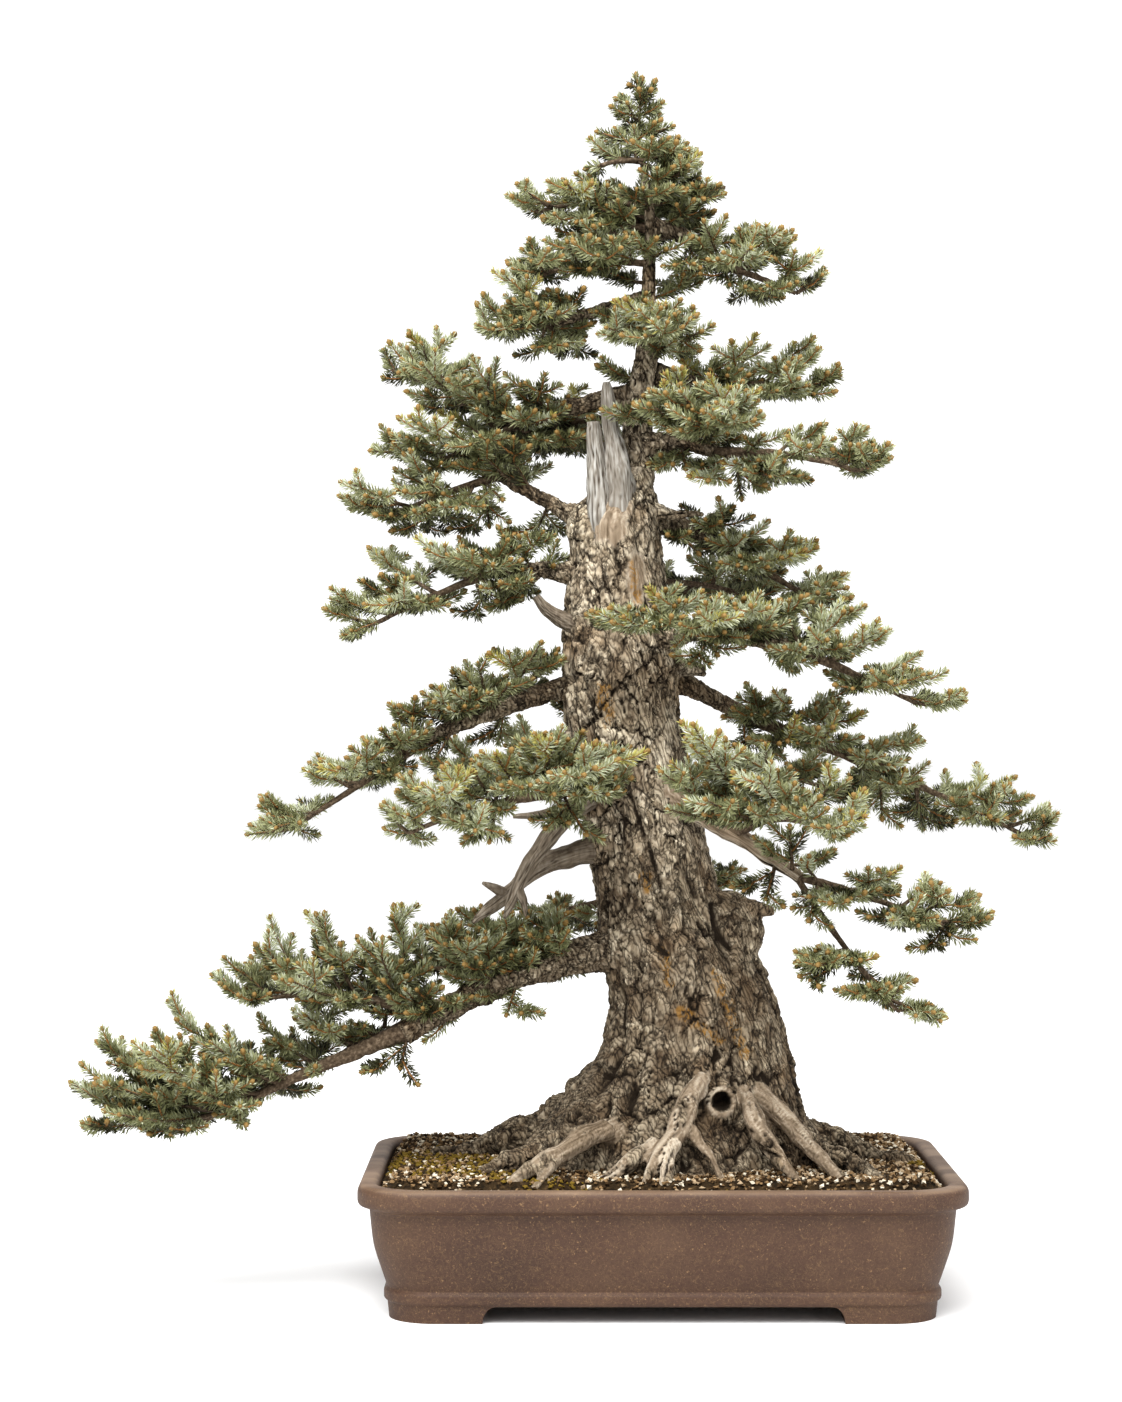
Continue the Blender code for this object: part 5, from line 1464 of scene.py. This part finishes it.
class Finish:
    """A material whose shader has plain values, and the nodes that are added to it."""

    def __init__(self, name, colour, roughness, specular=0.5):
        self.made = bpy.data.materials.new(name)
        self.made.use_nodes = True
        self.shader = self.made.node_tree.nodes["Principled BSDF"]
        self.feed(self.shader, {
            "Base Color": (*colour, 1), "Roughness": roughness, "Specular IOR Level": specular,
        })

    def feed(self, node, inputs):
        """Puts a value or a link on each of these inputs of a node."""
        for socket, value in inputs.items():
            if isinstance(value, bpy.types.NodeSocket):
                self.made.node_tree.links.new(value, node.inputs[socket])
            else:
                node.inputs[socket].default_value = value

    def node(self, kind, inputs, **settings):
        made = self.made.node_tree.nodes.new("ShaderNode" + kind)
        for name, value in settings.items():
            setattr(made, name, value)
        self.feed(made, inputs)
        return made

    def places(self, stretch):
        """The object's own coordinates, drawn out along its axes by the stretch."""
        own = self.node("TexCoord", {}).outputs["Object"]
        return self.node("Mapping", {"Scale": stretch, "Vector": own}).outputs["Vector"]

    def noise(self, scale, detail=4.0, stretch=(1, 1, 1), distortion=0.0):
        return self.node("TexNoise", {
            "Vector": self.places(stretch), "Scale": scale, "Detail": detail, "Distortion": distortion,
        }).outputs["Fac"]

    def ramp(self, value, *stops):
        """Greys or colours for a value from 0 to 1."""
        made = self.node("ValToRGB", {"Fac": value})
        elements = made.color_ramp.elements
        while len(elements) < len(stops):
            elements.new(0.5)
        for element, (place, colour) in zip(elements, stops):
            element.position = place
            element.color = (*(colour if isinstance(colour, tuple) else (colour,) * 3), 1)
        return made.outputs["Color"]

    def mix(self, share, first, second, blend="MIX"):
        inputs = {0: share, 6: first, 7: second}
        return self.node("Mix", inputs, data_type="RGBA", blend_type=blend).outputs[2]

    def times(self, share, first, second):
        return self.mix(share, first, second, "MULTIPLY")

    def flakes(self, scale):
        """Cells whose borders wander, as the distance to the border and a tone for each cell."""
        places = self.places((1, 1, 0.5))
        warp = self.node("TexNoise", {"Vector": places, "Scale": 1.3 * scale, "Detail": 3.0})
        inputs = {0: warp.outputs["Color"], 1: (1.5 / scale,) * 3, 2: places}
        offset = self.node("VectorMath", inputs, operation="MULTIPLY_ADD").outputs[0]
        inputs = {"Vector": offset, "Scale": scale}
        return [
            self.node("TexVoronoi", inputs, feature=feature).outputs[output]
            for feature, output in (("DISTANCE_TO_EDGE", "Distance"), ("F1", "Color"))
        ]

    def mark(self, name):
        return self.node("Attribute", {}, attribute_name=name).outputs["Fac"]

    def bump(self, height, strength, distance, after=None):
        inputs = {"Height": height, "Strength": strength, "Distance": distance}
        made = self.node("Bump", {**inputs, "Normal": after} if after else inputs).outputs["Normal"]
        self.feed(self.shader, {"Normal": made})
        return made

    def coloured(self, colour):
        self.feed(self.shader, {"Base Color": colour})
        return self.made


def bark_material():
    bark = Finish("spruce bark", (0.2, 0.16, 0.12), 0.92, 0.25)
    hollow, shade, bare, lichen = map(bark.mark, ("hollow", "shade", "bare", "lichen"))
    plates = bark.ramp(
        shade, (0.0, (0.036, 0.023, 0.012)), (0.35, (0.116, 0.089, 0.061)),
        (0.6, (0.262, 0.224, 0.17)), (0.88, (0.54, 0.492, 0.405)),
    )
    patches = bark.ramp(
        bark.noise(24.0, 5.0),
        (0.32, (0.8, 0.7, 0.6)), (0.5, (0.98, 0.97, 0.95)), (0.68, (1.15, 1.14, 1.1)),
    )
    plates = bark.times(1.0, plates, patches)
    curls = bark.noise(230.0, 6.0, (1, 1, 0.6), 1.6)
    speckle = bark.ramp(
        curls, (0.34, (0.6, 0.56, 0.52)), (0.48, (0.96, 0.95, 0.93)), (0.66, (1.22, 1.21, 1.19))
    )
    plates = bark.times(0.5, plates, speckle)
    # Fine ripples of the flakes, which wind round each other
    inputs = {"Scale": 120.0, "Distortion": 17.0, "Detail": 3.0, "Detail Scale": 0.6}
    inputs["Vector"] = bark.places((1, 1, 0.4))
    ripples = bark.node("TexWave", inputs, bands_direction="DIAGONAL").outputs["Fac"]
    carved = bark.ramp(
        ripples, (0.05, (0.24, 0.21, 0.18)), (0.3, (0.88, 0.87, 0.86)), (0.9, (1.24, 1.24, 1.23))
    )
    plates = bark.times(0.7, plates, carved)
    edges, tone = bark.flakes(62.0)
    # Dark lines round the flakes, painted shade in the cracks between them
    lines = bark.ramp(edges, (0.0, (0.05, 0.04, 0.03)), (0.06, (0.9, 0.89, 0.88)), (0.13, 1.06))
    plates = bark.times(0.85, plates, lines)
    tones = bark.ramp(tone, (0.1, (0.86, 0.84, 0.82)), (0.9, (1.14, 1.14, 1.13)))
    plates = bark.times(0.8, plates, tones)
    # Winding cracks, painted dark as shade, each with a painted highlight on one side where a flake
    # curls up
    lines = bark.ramp(
        bark.noise(75.0, 4.0, (1, 1, 0.5), 1.1),
        (0.45, (0.9, 0.89, 0.88)), (0.474, (0.66, 0.64, 0.62)), (0.495, (0.04, 0.03, 0.02)),
        (0.51, (1.24, 1.23, 1.21)), (0.54, 1.0),
    )
    plates = bark.times(0.9, plates, lines)
    wood = bark.ramp(
        shade, (0.3, (0.1, 0.072, 0.045)), (0.48, (0.235, 0.182, 0.128)), (0.68, (0.44, 0.378, 0.295))
    )
    surface = bark.mix(bare, plates, wood)
    gold = bark.times(1.0, bark.ramp(curls, (0.44, 0.0), (0.58, 0.75)), lichen)
    surface = bark.mix(gold, surface, (0.26, 0.135, 0.028, 1))
    # Painted shade in the cracks, furrows, grooves and hollows
    surface = bark.mix(bark.ramp(hollow, (0.1, 0.0), (0.75, 1.0)), surface, (0.016, 0.01, 0.005, 1))
    bark.bump(ripples, 0.6, 0.001, bark.bump(curls, 0.5, 0.0015))
    return bark.coloured(surface)


def dead_wood_material(name, tone):
    dead = Finish(name, (0.42, 0.37, 0.31), 0.8, 0.3)
    wood = dead.ramp(
        dead.mark("shade"),
        (0.28, (0.105, 0.085, 0.065)), (0.46, (0.25, 0.22, 0.182)), (0.68, (0.42, 0.398, 0.358)),
    )
    lines = dead.noise(330.0, 4.0, (1, 1, 0.07))
    wood = dead.times(0.75, wood, dead.ramp(lines, (0.34, (0.62, 0.58, 0.53)), (0.6, 1.12)))
    wood = dead.times(1.0, wood, (*tone, 1))
    dead.bump(lines, 0.5, 0.0009)
    # The grooves are painted dark as shade
    return dead.coloured(dead.mix(dead.mark("hollow"), wood, (0.045, 0.032, 0.02, 1)))


def clay_material():
    clay = Finish("fired clay", (0.115, 0.062, 0.042), 0.6, 0.35)
    surface = clay.ramp(
        clay.noise(11.0, 6.0),
        (0.32, (0.05, 0.026, 0.016)), (0.5, (0.064, 0.033, 0.02)), (0.68, (0.08, 0.044, 0.026)),
    )
    fine = clay.noise(620.0, 3.0)
    surface = clay.times(0.8, surface, clay.ramp(fine, (0.3, (0.7, 0.68, 0.66)), (0.55, 1.04)))
    specks = clay.ramp(clay.noise(400.0, 2.0), (0.66, 0.0), (0.74, 1.0))
    surface = clay.mix(specks, surface, (0.19, 0.115, 0.058, 1))
    threads = clay.ramp(clay.noise(190.0, 3.0, (1, 1, 1), 1.5), (0.48, 0.0), (0.5, 0.7), (0.52, 0.0))
    surface = clay.mix(threads, surface, (0.17, 0.105, 0.05, 1))
    # Paler in patches along the top of the rim
    paler_top = clay.ramp(clay.noise(38.0, 5.0, (0.3, 1, 1)), (0.35, 0.15), (0.65, 0.85))
    paler_top = clay.times(1.0, paler_top, clay.mark("worn"))
    clay.bump(fine, 0.3, 0.0007)
    return clay.coloured(clay.mix(paler_top, surface, (0.23, 0.16, 0.108, 1)))


def rough_material(made, scale, detail, bump, *stops):
    """A finish with one noise, which gives both its colours and its relief."""
    rough = made.noise(scale, detail)
    made.bump(rough, *bump)
    return made.coloured(made.ramp(rough, *stops))


# Stage


def make_stage():
    mesh = bpy.data.meshes.new("floor")
    corners = [(x * FLOOR_REACH, y * FLOOR_REACH, 0) for x, y in ((-1, -1), (1, -1), (1, 1), (-1, 1))]
    mesh.from_pydata(corners, [], [(0, 1, 2, 3)])
    mesh.materials.append(Finish("pale floor", (0.84, 0.84, 0.84), 0.9, 0.0).made)
    linked("floor", mesh)


def make_lights():
    world = bpy.data.worlds.new("studio")
    world.use_nodes = True
    back = world.node_tree.nodes["Background"]
    back.inputs["Color"].default_value = (1.0, 1.0, 1.0, 1)
    back.inputs["Strength"].default_value = 1.02
    bpy.context.scene.world = world
    for name, place, size, power in (
        ("key", (-0.7, -1.9, 3.2), 3.2, 200.0),
        ("fill", (2.4, -1.8, 1.6), 2.0, 22.0),
    ):
        light = bpy.data.lights.new(name, "AREA")
        light.shape, light.size, light.energy = "DISK", size, power
        lamp = linked(name, light)
        lamp.location = ORIGIN + Vector(place)
        aim = ORIGIN + Vector(LIT_PLACE) - lamp.location
        lamp.rotation_euler = aim.to_track_quat("-Z", "Y").to_euler()


def make_camera():
    data = bpy.data.cameras.new("camera")
    data.sensor_width = SENSOR
    data.lens = SENSOR * FOCAL_PIXELS / PHOTO_HEIGHT
    data.clip_end = 100
    camera = linked("camera", data)
    camera.location = ORIGIN + Vector(CAMERA_PLACE)
    camera.rotation_euler = (math.radians(90), 0, 0)
    bpy.context.scene.camera = camera


def main():
    bpy.context.scene.view_settings.view_transform = "Standard"
    bpy.context.scene.view_settings.look = "Medium High Contrast"
    bark = bark_material()
    make_trunk(bark)
    make_boughs(bark)
    silver = dead_wood_material("silver dead wood", (0.8, 0.82, 0.84))
    make_dead_wood(silver, dead_wood_material("grey dead wood", (0.54, 0.49, 0.43)))
    wood, shoots = [], []
    for mass in MASSES:
        grow_mass(mass, wood, shoots)
    for bough in BOUGHS:
        grow_sprigs_on(bough, wood, shoots)
    grow_leader_sprigs(wood, shoots)
    old = rough_material(
        Finish("old twigs", (0.1, 0.07, 0.05), 0.9, 0.2), 380.0, 4.0, (0.6, 0.001),
        (0.3, (0.04, 0.027, 0.017)), (0.55, (0.105, 0.076, 0.05)), (0.75, (0.22, 0.17, 0.12)),
    )
    place_piece(wood_mesh(wood, old), [mass.name for mass in MASSES] + ["foliage_crown_tip"])
    rng = np.random.default_rng(7)
    make_young_twigs(shoots, Finish("young twigs", (0.27, 0.125, 0.036), 0.7).made)
    make_buds(shoots, Finish("buds", (0.2, 0.122, 0.032), 0.7).made, rng)
    tints = {name: Finish(name, colour, 0.5).made for name, colour in NEEDLE_TINTS.items()}
    make_needles(shoots, tints, rng)
    make_pot(clay_material())
    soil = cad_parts["soil"].data.materials
    soil.clear()
    soil.append(rough_material(
        Finish("soil", (0.12, 0.08, 0.05), 0.95, 0.2), 260.0, 5.0, (1.0, 0.003),
        (0.3, (0.008, 0.005, 0.002)), (0.55, (0.036, 0.022, 0.009)), (0.75, (0.11, 0.07, 0.032)),
    ))
    tints = {name: Finish(name, colour, 0.9, 0.2).made for name, colour in GRAIN_TINTS.items()}
    make_grains(tints, rng)
    make_stage()
    make_lights()
    make_camera()


main()
